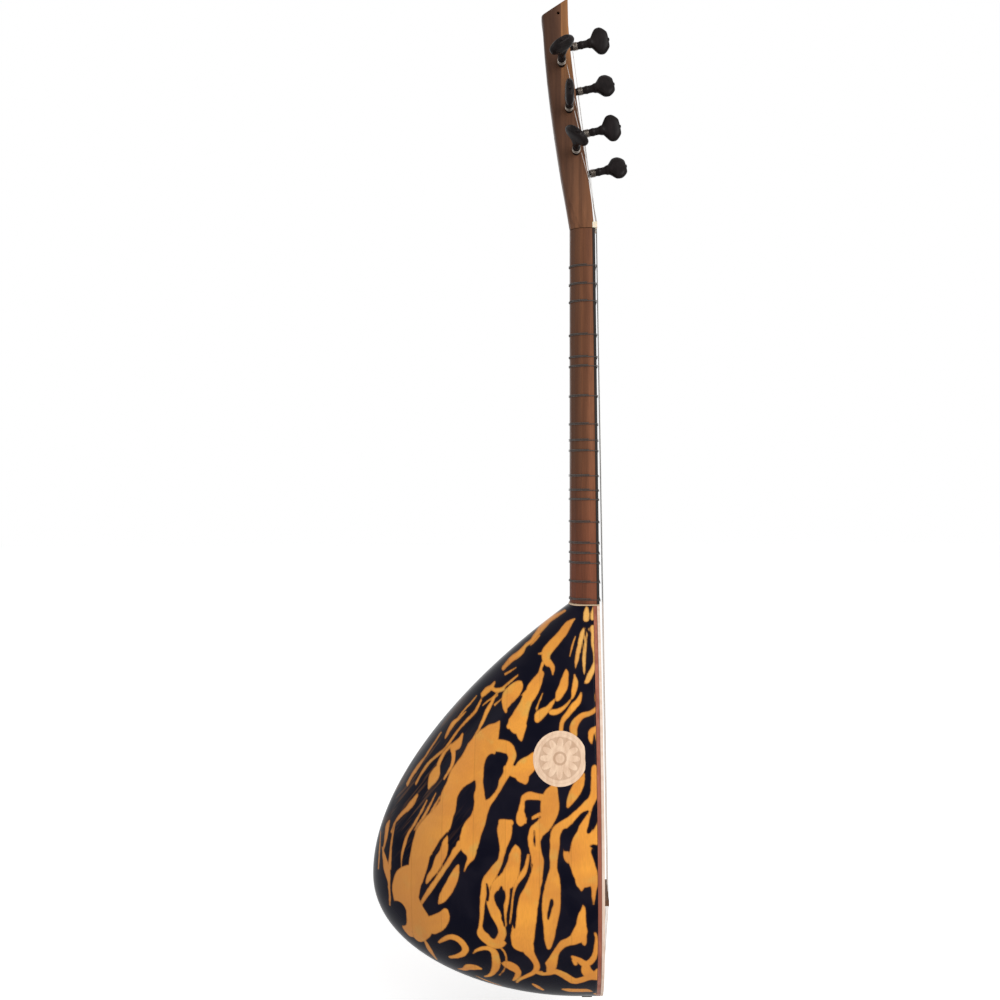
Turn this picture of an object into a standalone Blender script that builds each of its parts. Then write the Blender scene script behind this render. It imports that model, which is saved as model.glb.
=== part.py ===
"""Short-neck baglama: a plucked lute with a deep carved bowl, tied frets, friction pegs and seven strings.

While it is drawn, z = 0 is the front edge of the nut and x = 0 is the face of the soundboard.
+X looks out of the soundboard, +Z runs up the neck, and the side pegs stand out towards -Y.
Every piece hangs on one empty, which puts the origin in the hanging hole of the head.
Sizes are in metres.
"""

import math

import bmesh
import bpy
from mathutils import Matrix, Vector

# Clearances
GLUE_GAP = 0.0003
TURNING_GAP = 0.0003
MERGE = 0.000001
CUT_PAST = 0.005

# Bowl, measured from the neck joint towards the tail
BOWL_LENGTH = 0.380
BOWL_WIDTH = 0.224
BOWL_DEPTH = 0.2274
BOWL_WALL = 0.005
BOWL_WIDEST = 0.255
BOWL_DEEPEST = 0.2665
BOWL_END_WIDTH = 0.040
BOWL_END_DEPTH = 0.0305
BOWL_SOLID_END = 0.038
STRAIGHT_WALL = 0.020
SHOULDER_SPREAD = 0.74
SHOULDER_REACH = 0.080
SHOULDER_FULLNESS = 0.092
BACK_RISE = 1.40
BACK_REACH = 0.0763
BACK_FULLNESS = 0.086
TAIL_ROUNDNESS = 0.0715
TAIL_FALL = 0.099
TAIL_BREADTH = 0.072
SOUND_HOLE = 0.020
SOUND_HOLE_FROM_TAIL = 0.012

# Soundboard and its rim
SOUNDBOARD_THICKNESS = 0.0026
RIM_HEIGHT = 0.0033
RIM_WIDTH = 0.006
BRACE_WIDTH = 0.006
BRACE_HEIGHT = 0.011
BRACE_END_HEIGHT = 0.0037
BRACE_END_GAP = 0.0006
BRACE_FOOT_SHARE = 0.8
BRACE_PLACES = {"brace_upper": 0.150, "brace_lower": 0.230}

# Neck, fingerboard and head
NECK_PAST_FRETS = 0.0042
NECK_SETBACK = 0.003
NUT_END_WIDTH = 0.028
JOINT_END_WIDTH = 0.036
NUT_END_DEPTH = 0.025
JOINT_END_DEPTH = 0.0294
NECK_SIDE = 0.006
BOARD_THICKNESS = 0.0025
BOARD_EASING = 0.0005
VENEER_THICKNESS = 0.001
TENON_WIDTH = 0.015
TENON_DEPTH = 0.013
TENON_LENGTH = 0.028
HEAD_LENGTH = 0.2275
HEAD_FALL = 0.0254
HEAD_BACK_FALL = 0.0275
HEAD_SLANT = 0.017
HEAD_SIDE = 0.017
HEAD_FACE_STEP = 0.0009
HEAD_FACE_HANDLES = ((0.40, 0.37), (0.73, 1.04))
HEAD_BACK_HANDLES = ((0.35, 0.49), (0.64, 0.90))
HANGING_HOLE = 0.003
HANGING_HOLE_FROM_TIP = 0.0145
HANGING_HOLE_FROM_FACE = 0.0095

# Nut, bridge and tail
SCALE_LENGTH = 0.665
NUT_THICKNESS = 0.006
BRIDGE_WIDTH = 0.054
BRIDGE_THICKNESS = 0.0055
BRIDGE_FOOT = 0.009
BRIDGE_ARCH = 0.003
SADDLE_WIDTH = 0.038
SADDLE_THICKNESS = 0.005
TAILPIECE_WIDTH = 0.038
TAILPIECE_HEIGHT = 0.010
TAILPIECE_THICKNESS = 0.007
TAILPIECE_DROP = 0.009
TAILPIECE_CLEARANCE = 0.0004
ANCHOR_HOLE = 0.0018

# Strings
COURSES = (2, 2, 3)
NUT_BAND = 0.021
NUT_PAIR = 0.0022
BRIDGE_BAND = 0.037
BRIDGE_PAIR = 0.003
TAIL_BAND = 0.030
STRING_AT_NUT = -0.001
STRING_AT_BRIDGE = 0.0075
STRING_AT_SADDLE = 0.0021
STRING_DIAMETER = 0.0004
EDGE_SHARE = 0.58
SLOT_WIDTH = 0.0014
SLOT_DEPTH = 0.0008

# Pegs
PEG_LEAN = math.radians(12.0)
PEG_DIAMETER = 0.0068
PEG_TAPER = 1 / 40
PEG_LENGTH = 0.040
KNOB_WIDTH = 0.027
KNOB_THICKNESS = 0.009
KNOB_LENGTH = 0.018
PEG_RECESS = 0.001
PEG_BEAD = 1.3
PEG_PLAIN_SHARE = 0.46
PEG_BEADS = ((0.50, 0.88), (0.58, 0.92), (0.63, 0.84), (0.82, 0.86), (0.88, 1.0), (0.96, 1.1), (1.0, 1.1))
KNOB_FORM = ((0.16, 0.66, 0.95), (0.36, 0.95, 1.0), (0.60, 1.0, 1.0), (0.84, 0.80, 0.92), (0.99, 0.52, 0.66))
PIP_RADIUS = 0.0015
PIP_HEIGHT = 0.001
FACE_PEG_PLACES = (0.184, 0.139, 0.0965, 0.0565)
FACE_PEG_TURNS = (0.0, -26.0, -2.0, -30.0)
SIDE_PEG_PLACES = (0.1625, 0.117, 0.0752)
SIDE_PEG_TURNS = (-57.0, 0.0, 50.0)
SIDE_PEG_INSETS = (0.0100, 0.0088, 0.0082)
WINDING_TURNS = 5
WINDING_DIAMETER = 0.0005
WINDING_PITCH = 0.00095
WINDING_START = 0.0032

# Tied frets, as semitones from the nut
FRET_STEPS = (1, 1.5, 2, 3, 3.7, 4, 5, 6, 6.6, 7, 8, 8.6, 9, 10, 11, 11.5, 12, 13, 14)
FRET_LINE = 0.0008
FRET_TURNS = 2
FRET_PITCH = 0.0012

# Medallion on the side of the bowl
MEDALLION_DIAMETER = 0.050
MEDALLION_THICKNESS = 0.0018
MEDALLION_PLACE = 0.131
MEDALLION_BELOW_FACE = 0.040

# Fineness of the round forms
BOWL_STEPS = 11
BOWL_SECTION_STEPS = 20
NECK_BACK_STEPS = 8
HEAD_STEPS = 9
HEAD_SQUARING_STEPS = 2
ARCH_STEPS = 4
TAILPIECE_STEPS = 8
PEG_SIDES = 12
HOLE_SIDES = 16
ANCHOR_SIDES = 8
MEDALLION_SIDES = 32
WINDING_STEPS = 10
ROUND_BACK = 2.0
SQUARE_BACK = 7.0

SEMITONES = 12


def fret_place(semitones):
    """Distance of a fret from the nut."""
    return SCALE_LENGTH * (1 - 2 ** (-semitones / SEMITONES))


NECK_LENGTH = fret_place(FRET_STEPS[-1]) + NECK_PAST_FRETS
BOWL_START = -(NECK_LENGTH + VENEER_THICKNESS + 2 * GLUE_GAP)
BOWL_TAIL = BOWL_START - BOWL_LENGTH
RIM_TOP = -(SOUNDBOARD_THICKNESS + GLUE_GAP)
BOWL_RIM = RIM_TOP - RIM_HEIGHT - GLUE_GAP


# Scene and helpers

def clear_scene():
    for old in list(bpy.data.objects):
        bpy.data.objects.remove(old)


def new_collection(name, hidden=False):
    collection = bpy.data.collections.new(name)
    collection.hide_render = hidden
    bpy.context.scene.collection.children.link(collection)
    return collection


def new_material(name, colour, roughness, metallic=0.0):
    material = bpy.data.materials.new(name)
    material.use_nodes = True
    shader = material.node_tree.nodes["Principled BSDF"]
    shader.inputs["Base Color"].default_value = (*colour, 1.0)
    shader.inputs["Roughness"].default_value = roughness
    shader.inputs["Metallic"].default_value = metallic
    material.diffuse_color = (*colour, 1.0)
    return material


def shade(mesh):
    mesh.shade_smooth()
    mesh.set_sharp_from_angle(angle=math.radians(35))


def add_piece(name, mesh, material, matrix=None):
    """One named piece of the instrument, on the common empty."""
    piece = bpy.data.objects.new(name, mesh)
    PIECES.objects.link(piece)
    piece.parent = HANGER
    piece.matrix_local = matrix or Matrix()
    mesh.materials.clear()
    mesh.materials.append(material)
    shade(mesh)
    return piece


def add_cutter(name, mesh, matrix=None):
    cutter = bpy.data.objects.new(name, mesh)
    CUTTERS.objects.link(cutter)
    cutter.parent = HANGER
    cutter.matrix_local = matrix or Matrix()
    cutter.hide_render = True
    cutter.display_type = "WIRE"
    return cutter


def combine(piece, tool, operation="DIFFERENCE"):
    modifier = piece.modifiers.new(tool.name, "BOOLEAN")
    modifier.object = tool
    modifier.operation = operation
    modifier.solver = "EXACT"


def mesh_from(bm, name):
    mesh = bpy.data.meshes.new(name)
    bm.to_mesh(mesh)
    bm.free()
    return mesh


def box_mesh(name, low, high):
    low, high = Vector(low), Vector(high)
    size = high - low
    place = Matrix.Translation((low + high) / 2) @ Matrix.Diagonal((*size, 1.0))
    bm = bmesh.new()
    bmesh.ops.create_cube(bm, size=1.0, matrix=place)
    return mesh_from(bm, name)


def cone_mesh(name, radius_low, radius_high, length, sides):
    """A cone or cylinder about its own z axis, centred on its middle."""
    bm = bmesh.new()
    bmesh.ops.create_cone(
        bm, cap_ends=True, segments=sides, radius1=radius_low, radius2=radius_high, depth=length
    )
    return mesh_from(bm, name)


def loft_mesh(name, rings):
    """A closed skin over rings of equal counts of points, with flat ends."""
    bm = bmesh.new()
    rows = [[bm.verts.new(point) for point in ring] for ring in rings]
    for low, high in zip(rows, rows[1:]):
        for k in range(len(low)):
            bm.faces.new((low[k - 1], low[k], high[k], high[k - 1]))
    bm.faces.new(rows[0])
    bm.faces.new(rows[-1])
    bmesh.ops.remove_doubles(bm, verts=bm.verts, dist=MERGE)
    bmesh.ops.recalc_face_normals(bm, faces=bm.faces)
    return mesh_from(bm, name)


def curve_to_mesh(name, data, matrix):
    """The evaluated curve as a mesh in the drawing's frame, with its caps welded."""
    guide = bpy.data.objects.new(name, data)
    bpy.context.scene.collection.objects.link(guide)
    evaluated = guide.evaluated_get(bpy.context.evaluated_depsgraph_get())
    mesh = bpy.data.meshes.new_from_object(evaluated)
    bpy.data.objects.remove(guide)
    bm = bmesh.new()
    bm.from_mesh(mesh)
    bmesh.ops.remove_doubles(bm, verts=bm.verts, dist=MERGE)
    bmesh.ops.transform(bm, matrix=matrix, verts=bm.verts)
    bmesh.ops.recalc_face_normals(bm, faces=bm.faces)
    return mesh_from(bm, name)


def flat_mesh(name, outlines, low, high, axes):
    """A flat outline, with holes if there are several, made thick from low to high.

    axes names the two directions of the outline and the direction of the thickness.
    """
    data = bpy.data.curves.new(name, "CURVE")
    data.dimensions = "2D"
    data.fill_mode = "BOTH"
    data.extrude = (high - low) / 2
    for outline in outlines:
        spline = data.splines.new("POLY")
        spline.points.add(len(outline) - 1)
        for point, (u, v) in zip(spline.points, outline):
            point.co = (u, v, 0.0, 1.0)
        spline.use_cyclic_u = True
    frame = Matrix((axes[0], axes[1], axes[2])).transposed().to_4x4()
    middle = Matrix.Translation(Vector(axes[2]) * (low + high) / 2)
    return curve_to_mesh(name, data, middle @ frame)


def tube_mesh(name, points, diameter, fineness):
    """A line or string along the points, with closed ends."""
    data = bpy.data.curves.new(name, "CURVE")
    data.dimensions = "3D"
    data.bevel_depth = diameter / 2
    data.bevel_resolution = fineness
    data.use_fill_caps = True
    spline = data.splines.new("POLY")
    spline.points.add(len(points) - 1)
    for knot, point in zip(spline.points, points):
        knot.co = (*point, 1.0)
    return curve_to_mesh(name, data, Matrix())


def pointing(place, axis, towards):
    """A frame at place with z along axis and x as near to towards as it can be."""
    z = Vector(axis).normalized()
    y = z.cross(Vector(towards)).normalized()
    x = y.cross(z)
    frame = Matrix((x, y, z)).transposed().to_4x4()
    return Matrix.Translation(place) @ frame


def least_gap(points, diameter, turn_points):
    """The smallest clear distance between one turn of a wound line and another."""
    nearest = min(
        (Vector(a) - Vector(b)).length
        for i, a in enumerate(points)
        for b in points[i + turn_points // 2:]
    )
    return nearest - diameter


# Outlines of the bowl

def cubic(handles, u):
    a, b, c, d = (Vector(handle) for handle in handles)
    v = 1 - u
    point = a * v**3 + b * 3 * v * v * u + c * 3 * v * u * u + d * u**3
    slope = (b - a) * 3 * v * v + (c - b) * 6 * v * u + (d - c) * 3 * u * u
    return point, slope


PLAN = (
    ((0, BOWL_END_WIDTH / 2),
     (SHOULDER_REACH, BOWL_END_WIDTH / 2 + SHOULDER_SPREAD * SHOULDER_REACH),
     (BOWL_WIDEST - SHOULDER_FULLNESS, BOWL_WIDTH / 2),
     (BOWL_WIDEST, BOWL_WIDTH / 2)),
    ((BOWL_WIDEST, BOWL_WIDTH / 2),
     (BOWL_WIDEST + TAIL_BREADTH, BOWL_WIDTH / 2),
     (BOWL_LENGTH, TAIL_BREADTH),
     (BOWL_LENGTH, 0)),
)
SIDE = (
    ((0, BOWL_END_DEPTH),
     (BACK_REACH, BOWL_END_DEPTH + BACK_RISE * BACK_REACH),
     (BOWL_DEEPEST - BACK_FULLNESS, BOWL_DEPTH),
     (BOWL_DEEPEST, BOWL_DEPTH)),
    ((BOWL_DEEPEST, BOWL_DEPTH),
     (BOWL_DEEPEST + TAIL_ROUNDNESS, BOWL_DEPTH),
     (BOWL_LENGTH, STRAIGHT_WALL + TAIL_FALL),
     (BOWL_LENGTH, STRAIGHT_WALL)),
)


def outline_point(outline, u, inset):
    """A point of an outline of two curves, u from 0 to 2, moved square to it towards the inside."""
    segment = min(int(u), 1)
    point, slope = cubic(outline[segment], u - segment)
    slope.normalize()
    return point.x + inset * slope.y, point.y - inset * slope.x


def solve(value_at, wanted, low, high):
    """Where a rising function reaches the wanted value."""
    for _ in range(48):
        middle = (low + high) / 2
        if value_at(middle) < wanted:
            low = middle
        else:
            high = middle
    return (low + high) / 2


def reach(outline, along, inset=0.0):
    u = solve(lambda v: outline_point(outline, v, inset)[0], along, 0.0, 2.0)
    return max(outline_point(outline, u, inset)[1], 0.0)


def tail_z(y, offset):
    """Height of the tail's outline, moved out by offset, at the distance y from the middle."""
    u = solve(lambda v: -outline_point(PLAN, v, -offset)[1], -abs(y), 1.0, 2.0)
    return BOWL_START - outline_point(PLAN, u, -offset)[0]


def bowl_stations():
    """Places along the bowl, closer together where it rounds into the tail."""
    shoulder = [BOWL_WIDEST * k / BOWL_STEPS for k in range(BOWL_STEPS)]
    quarter = [math.pi / 2 * k / BOWL_STEPS for k in range(BOWL_STEPS + 1)]
    tail = [BOWL_WIDEST + (BOWL_LENGTH - BOWL_WIDEST) * math.sin(angle) for angle in quarter]
    return shoulder + tail


def bowl_point(along, angle, inset=0.0):
    """A point of the bowl's skin: straight down from the rim, then a half ellipse round the back."""
    half_width = reach(PLAN, along, inset)
    depth = reach(SIDE, along, inset)
    x = -STRAIGHT_WALL - (depth - STRAIGHT_WALL) * math.sin(angle)
    return Vector((x, half_width * math.cos(angle), BOWL_START - along))


def bowl_ring(along, inset, top):
    angles = [math.pi * k / BOWL_SECTION_STEPS for k in range(BOWL_SECTION_STEPS + 1)]
    ring = [bowl_point(along, angle, inset) for angle in angles]
    first = ring[0].copy()
    last = ring[-1].copy()
    first.x = last.x = top
    return [first, *ring, last]


def bowl_normal(along, angle):
    step = 0.0005
    lengthways = bowl_point(along - step, angle) - bowl_point(along + step, angle)
    around = bowl_point(along, angle + step) - bowl_point(along, angle - step)
    return around.cross(lengthways).normalized()


def plan_outline(inset=0.0, start=0.0):
    """The soundboard's outline or a line inside it, as (y, z) all the way round."""
    end = BOWL_LENGTH - inset
    places = [along for along in bowl_stations() if start < along < end]
    places = [start, *places, end]
    right = [(reach(PLAN, along, inset), BOWL_START - along) for along in places]
    left = [(-y, z) for y, z in reversed(right[:-1])]
    return right + left


ACROSS = ((0, 1, 0), (0, 0, 1), (1, 0, 0))
UPRIGHT = ((0, 1, 0), (-1, 0, 0), (0, 0, 1))


def standing_outline(points):
    """(y, x) points as an UPRIGHT outline, whose second direction is -x."""
    return [(y, -x) for y, x in points]


# Neck and head sections

def blend(near, far, share):
    return near + (far - near) * share


def neck_share(z):
    return -z / NECK_LENGTH


def neck_face(z):
    """Face of the fingerboard: level with the soundboard at the joint, set back at the nut."""
    return blend(-NECK_SETBACK, 0.0, neck_share(z))


def neck_half_width(z):
    return blend(NUT_END_WIDTH, JOINT_END_WIDTH, neck_share(z)) / 2


def neck_back(z):
    return neck_face(z) - blend(NUT_END_DEPTH, JOINT_END_DEPTH, neck_share(z))


def wood_section(face, back, half_width, side, squareness, grow=0.0):
    """(x, y) round a neck or a head: flat face, straight sides, then a back from round to nearly square."""
    points = [(face + grow, -half_width - grow), (face + grow, half_width + grow)]
    shoulder = face - side
    for k in range(NECK_BACK_STEPS + 1):
        angle = math.pi * k / NECK_BACK_STEPS
        across = math.copysign(abs(math.cos(angle)) ** (2 / squareness), math.cos(angle))
        deep = math.sin(angle) ** (2 / squareness)
        if k == NECK_BACK_STEPS // 2:
            across = 0.0
        points.append((shoulder - (shoulder - back + grow) * deep, (half_width + grow) * across))
    return points


def head_line(start_z, start_x, fall, handles):
    """One side line of the head as a curve in (z, x), with its handles as shares of length and fall."""
    inner = [(HEAD_LENGTH * along, start_x - fall * down) for along, down in handles]
    return ((start_z, start_x), *inner, (HEAD_LENGTH, start_x - fall))


HEAD_FACE = head_line(NUT_THICKNESS, -NECK_SETBACK - HEAD_FACE_STEP, HEAD_FALL, HEAD_FACE_HANDLES)
HEAD_BACK = head_line(0.0, -NECK_SETBACK - NUT_END_DEPTH, HEAD_BACK_FALL, HEAD_BACK_HANDLES)


def head_x(curve, z):
    u = solve(lambda v: cubic(curve, v)[0].x, z, 0.0, 1.0)
    return cubic(curve, u)[0].y


def head_face(z):
    return head_x(HEAD_FACE, z)


def head_back(z):
    return head_x(HEAD_BACK, z)


HALF_HEAD = NUT_END_WIDTH / 2
NUT_SEAT = -NECK_SETBACK - BOARD_THICKNESS - GLUE_GAP
HOLE_Z = HEAD_LENGTH - HANGING_HOLE_FROM_TIP
HOLE_X = head_face(HOLE_Z) - HANGING_HOLE_FROM_FACE


# Pegs: where each one stands and how thick it is

def peg_radius(distance):
    """Radius of the tapered shaft at a distance outside the head, negative inside it."""
    return PEG_DIAMETER / 2 + distance * PEG_TAPER


def face_peg_frame(z):
    place = Vector((head_face(z), 0, z))
    return pointing(place, (math.cos(PEG_LEAN), 0, math.sin(PEG_LEAN)), (0, 1, 0))


def side_peg_frame(z, inset):
    place = Vector((head_face(z) - inset, -HALF_HEAD, z))
    return pointing(place, (0, -math.cos(PEG_LEAN), math.sin(PEG_LEAN)), (1, 0, 0))


def depth_in_head(frame, sideways):
    """How far a peg goes before it comes out of the other side of the head."""
    if sideways:
        return 2 * HALF_HEAD / math.cos(PEG_LEAN)
    place = frame.translation
    axis = frame.col[2].to_3d()

    def outside(distance):
        point = place - axis * distance
        return head_back(point.z) - point.x

    return solve(outside, 0.0, 0.0, 3 * NUT_END_DEPTH)


def peg_list():
    """(name, frame, knob turn, depth, exit direction) for the seven pegs, in the order of their strings."""
    pegs = []
    for number, z in reversed(list(enumerate(SIDE_PEG_PLACES, 1))):
        frame = side_peg_frame(z, SIDE_PEG_INSETS[number - 1])
        turn = SIDE_PEG_TURNS[number - 1]
        pegs.append((f"side_peg_{number}", frame, turn, depth_in_head(frame, True), Vector((1, 0, 0))))
    for number, z in reversed(list(enumerate(FACE_PEG_PLACES, 1))):
        frame = face_peg_frame(z)
        turn = FACE_PEG_TURNS[number - 1]
        exit_direction = Vector((0, -1 if number == len(FACE_PEG_PLACES) else 1, 0))
        pegs.append((f"face_peg_{number}", frame, turn, depth_in_head(frame, False), exit_direction))
    return pegs


# Strings

def string_places(band, pair):
    """Distances across, grouped in courses that share a band."""
    steps = sum(count - 1 for count in COURSES)
    apart = (band - steps * pair) / (len(COURSES) - 1)
    places = []
    y = -band / 2
    for count in COURSES:
        for _ in range(count):
            places.append(y)
            y += pair
        y += apart - pair
    return places


NUT_PLACES = string_places(NUT_BAND, NUT_PAIR)
BRIDGE_PLACES = string_places(BRIDGE_BAND, BRIDGE_PAIR)
TAIL_PLACES = string_places(TAIL_BAND, TAIL_BAND / (sum(COURSES) - 1))
SLOT_CLEARANCE = STRING_DIAMETER / 2 + GLUE_GAP


def notched_outline(width, bottom, string_height, places, arches=()):
    """(y, x) outline of a bar whose top edge has a slot under each string and whose foot may be arched."""
    floor = string_height - SLOT_CLEARANCE
    top = floor + SLOT_DEPTH
    points = [(-width / 2, bottom), (-width / 2, top)]
    for y in places:
        left, right = y - SLOT_WIDTH / 2, y + SLOT_WIDTH / 2
        points += [(left, top), (left, floor), (right, floor), (right, top)]
    points += [(width / 2, top), (width / 2, bottom)]
    for middle, half_span, rise in arches:
        for k in range(ARCH_STEPS + 1):
            angle = math.pi * k / ARCH_STEPS
            points.append((middle + half_span * math.cos(angle), bottom + rise * math.sin(angle)))
    return points


# Pieces

def make_bowl(material):
    """Carved from the block: the outer form, hollowed, with a solid end that takes the neck's tenon."""
    outer = [bowl_ring(along, 0.0, BOWL_RIM) for along in bowl_stations()]
    bowl = add_piece("bowl", loft_mesh("bowl", outer), material)
    inner_end = BOWL_LENGTH - BOWL_WALL
    places = [along for along in bowl_stations() if BOWL_SOLID_END < along < inner_end]
    inner = [bowl_ring(along, BOWL_WALL, 0.0) for along in (BOWL_SOLID_END, *places, inner_end)]
    combine(bowl, add_cutter("bowl_hollow", loft_mesh("bowl_hollow", inner)))
    combine(bowl, add_cutter("bowl_mortise", tenon_mesh("bowl_mortise", BOWL_START, -1, GLUE_GAP)))
    keel = math.pi / 2
    place = BOWL_LENGTH - SOUND_HOLE_FROM_TAIL
    hole = pointing(bowl_point(place, keel), bowl_normal(place, keel), (0, 1, 0))
    bore = cone_mesh("sound_hole", SOUND_HOLE / 2, SOUND_HOLE / 2, 6 * BOWL_WALL, HOLE_SIDES)
    combine(bowl, add_cutter("sound_hole", bore, hole))
    return bowl


def saddle_notch():
    half = SADDLE_WIDTH / 2 + GLUE_GAP
    low = (BOWL_RIM - GLUE_GAP, -half, BOWL_TAIL - SADDLE_THICKNESS)
    high = (SADDLE_THICKNESS, half, BOWL_TAIL + SADDLE_THICKNESS + GLUE_GAP)
    return add_cutter("saddle_notch", box_mesh("saddle_notch", low, high))


def make_soundboard(spruce, rim_wood):
    notch = saddle_notch()
    board = flat_mesh("soundboard", [plan_outline()], -SOUNDBOARD_THICKNESS, 0.0, ACROSS)
    combine(add_piece("soundboard", board, spruce), notch)
    outlines = [plan_outline(), plan_outline(RIM_WIDTH, BOWL_SOLID_END)]
    rim = flat_mesh("rim_strip", outlines, RIM_TOP - RIM_HEIGHT, RIM_TOP, ACROSS)
    combine(add_piece("rim_strip", rim, rim_wood), notch)
    for name, along in BRACE_PLACES.items():
        narrow_side = along - BRACE_WIDTH / 2
        half = reach(PLAN, narrow_side, RIM_WIDTH) - BRACE_END_GAP
        foot_half = half * BRACE_FOOT_SHARE
        foot, end = RIM_TOP - BRACE_HEIGHT, RIM_TOP - BRACE_END_HEIGHT
        right = [(half, RIM_TOP), (half, end), (foot_half, foot)]
        left = [(-y, x) for y, x in reversed(right)]
        low, high = BOWL_START - along - BRACE_WIDTH / 2, BOWL_START - along + BRACE_WIDTH / 2
        add_piece(name, flat_mesh(name, [standing_outline(right + left)], low, high, UPRIGHT), spruce)


def tenon_mesh(name, z, direction, grow):
    """The neck's tenon past z, down into the bowl or up into the head, or the mortise that it fits."""
    middle = neck_face(0) - (NUT_END_DEPTH + BOARD_THICKNESS) / 2
    root = z - direction * CUT_PAST
    tip = z + direction * (TENON_LENGTH + grow)
    low = (middle - TENON_DEPTH / 2 - grow, -TENON_WIDTH / 2 - grow, min(root, tip))
    high = (middle + TENON_DEPTH / 2 + grow, TENON_WIDTH / 2 + grow, max(root, tip))
    return box_mesh(name, low, high)


def make_neck(wood, board_wood, veneer_wood):
    rings = []
    for z in (-NECK_LENGTH, -GLUE_GAP):
        face = neck_face(z) - BOARD_THICKNESS - GLUE_GAP
        section = wood_section(face, neck_back(z), neck_half_width(z), NECK_SIDE, ROUND_BACK)
        rings.append([(x, y, z) for x, y in section])
    neck = add_piece("neck", loft_mesh("neck", rings), wood)
    combine(neck, add_cutter("neck_tenon", tenon_mesh("neck_tenon", BOWL_START, -1, 0.0)), "UNION")
    combine(neck, add_cutter("head_tenon", tenon_mesh("head_tenon", 0.0, 1, 0.0)), "UNION")

    rings = []
    for z in (-NECK_LENGTH, -GLUE_GAP):
        face, half = neck_face(z), neck_half_width(z)
        ease = BOARD_EASING
        section = [(face - BOARD_THICKNESS, -half), (face - ease, -half), (face, ease - half),
                   (face, half - ease), (face - ease, half), (face - BOARD_THICKNESS, half)]
        rings.append([(x, y, z) for x, y in section])
    add_piece("fingerboard", loft_mesh("fingerboard", rings), board_wood)

    top = BOWL_START + GLUE_GAP + VENEER_THICKNESS
    section = bowl_ring(0.0, 0.0, 0.0)
    rings = [[(point.x, point.y, z) for point in section] for z in (top - VENEER_THICKNESS, top)]
    veneer = add_piece("joint_veneer", loft_mesh("joint_veneer", rings), veneer_wood)
    combine(veneer, add_cutter("veneer_mortise", tenon_mesh("veneer_mortise", BOWL_START, -1, GLUE_GAP)))


def make_head(wood):
    """Lofted from the neck's round back to a square one, and cut on a slant at the tip."""
    rings = []
    for k in range(HEAD_STEPS + 1):
        z = blend(GLUE_GAP, HEAD_LENGTH, k / HEAD_STEPS)
        squared = min(k / HEAD_SQUARING_STEPS, 1.0)
        squareness = blend(ROUND_BACK, SQUARE_BACK, squared)
        side = blend(NECK_SIDE, HEAD_SIDE, squared)
        face, back = head_face(z), head_back(z)
        section = wood_section(face, back, HALF_HEAD, side, squareness)
        ring = []
        for x, y in section:
            slant = HEAD_SLANT * (face - x) / (face - back) if k == HEAD_STEPS else 0.0
            ring.append((x, y, z - slant))
        rings.append(ring)
    head = add_piece("head", loft_mesh("head", rings), wood)
    reach_out = HALF_HEAD * 3
    low, high = (NUT_SEAT, -reach_out, -reach_out), (reach_out, reach_out, NUT_THICKNESS + GLUE_GAP)
    combine(head, add_cutter("nut_seat", box_mesh("nut_seat", low, high)))
    combine(head, add_cutter("head_mortise", tenon_mesh("head_mortise", 0.0, 1, GLUE_GAP)))
    for name, frame, _, depth, _ in peg_list():
        low, high = -depth - CUT_PAST, CUT_PAST
        narrow, wide = peg_radius(low) + TURNING_GAP, peg_radius(high) + TURNING_GAP
        bore = cone_mesh(name, narrow, wide, high - low, HOLE_SIDES)
        middle = Matrix.Translation((0, 0, (low + high) / 2))
        combine(head, add_cutter("hole_of_" + name, bore, frame @ middle))
    hole = cone_mesh("hanging_hole", HANGING_HOLE / 2, HANGING_HOLE / 2, reach_out, HOLE_SIDES)
    combine(head, add_cutter("hanging_hole", hole, pointing((HOLE_X, 0, HOLE_Z), (0, 1, 0), (1, 0, 0))))


def make_bars(bone, bridge_wood):
    """Nut, floating bridge and tail saddle: three bars with a slot for each string."""
    nut = notched_outline(NUT_END_WIDTH, NUT_SEAT + GLUE_GAP, STRING_AT_NUT, NUT_PLACES)
    mesh = flat_mesh("nut", [standing_outline(nut)], GLUE_GAP, NUT_THICKNESS, UPRIGHT)
    add_piece("nut", mesh, bone)

    arch = (BRIDGE_WIDTH - 3 * BRIDGE_FOOT) / 4
    arches = [(side * (BRIDGE_FOOT / 2 + arch), arch, BRIDGE_ARCH) for side in (1, -1)]
    bridge = notched_outline(BRIDGE_WIDTH, GLUE_GAP, STRING_AT_BRIDGE, BRIDGE_PLACES, arches)
    low, high = -SCALE_LENGTH - BRIDGE_THICKNESS / 2, -SCALE_LENGTH + BRIDGE_THICKNESS / 2
    add_piece("bridge", flat_mesh("bridge", [standing_outline(bridge)], low, high, UPRIGHT), bridge_wood)

    saddle = notched_outline(SADDLE_WIDTH, BOWL_RIM + GLUE_GAP, STRING_AT_SADDLE, TAIL_PLACES)
    low, high = BOWL_TAIL, BOWL_TAIL + SADDLE_THICKNESS
    add_piece("tail_saddle", flat_mesh("tail_saddle", [standing_outline(saddle)], low, high, UPRIGHT), bone)


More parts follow.
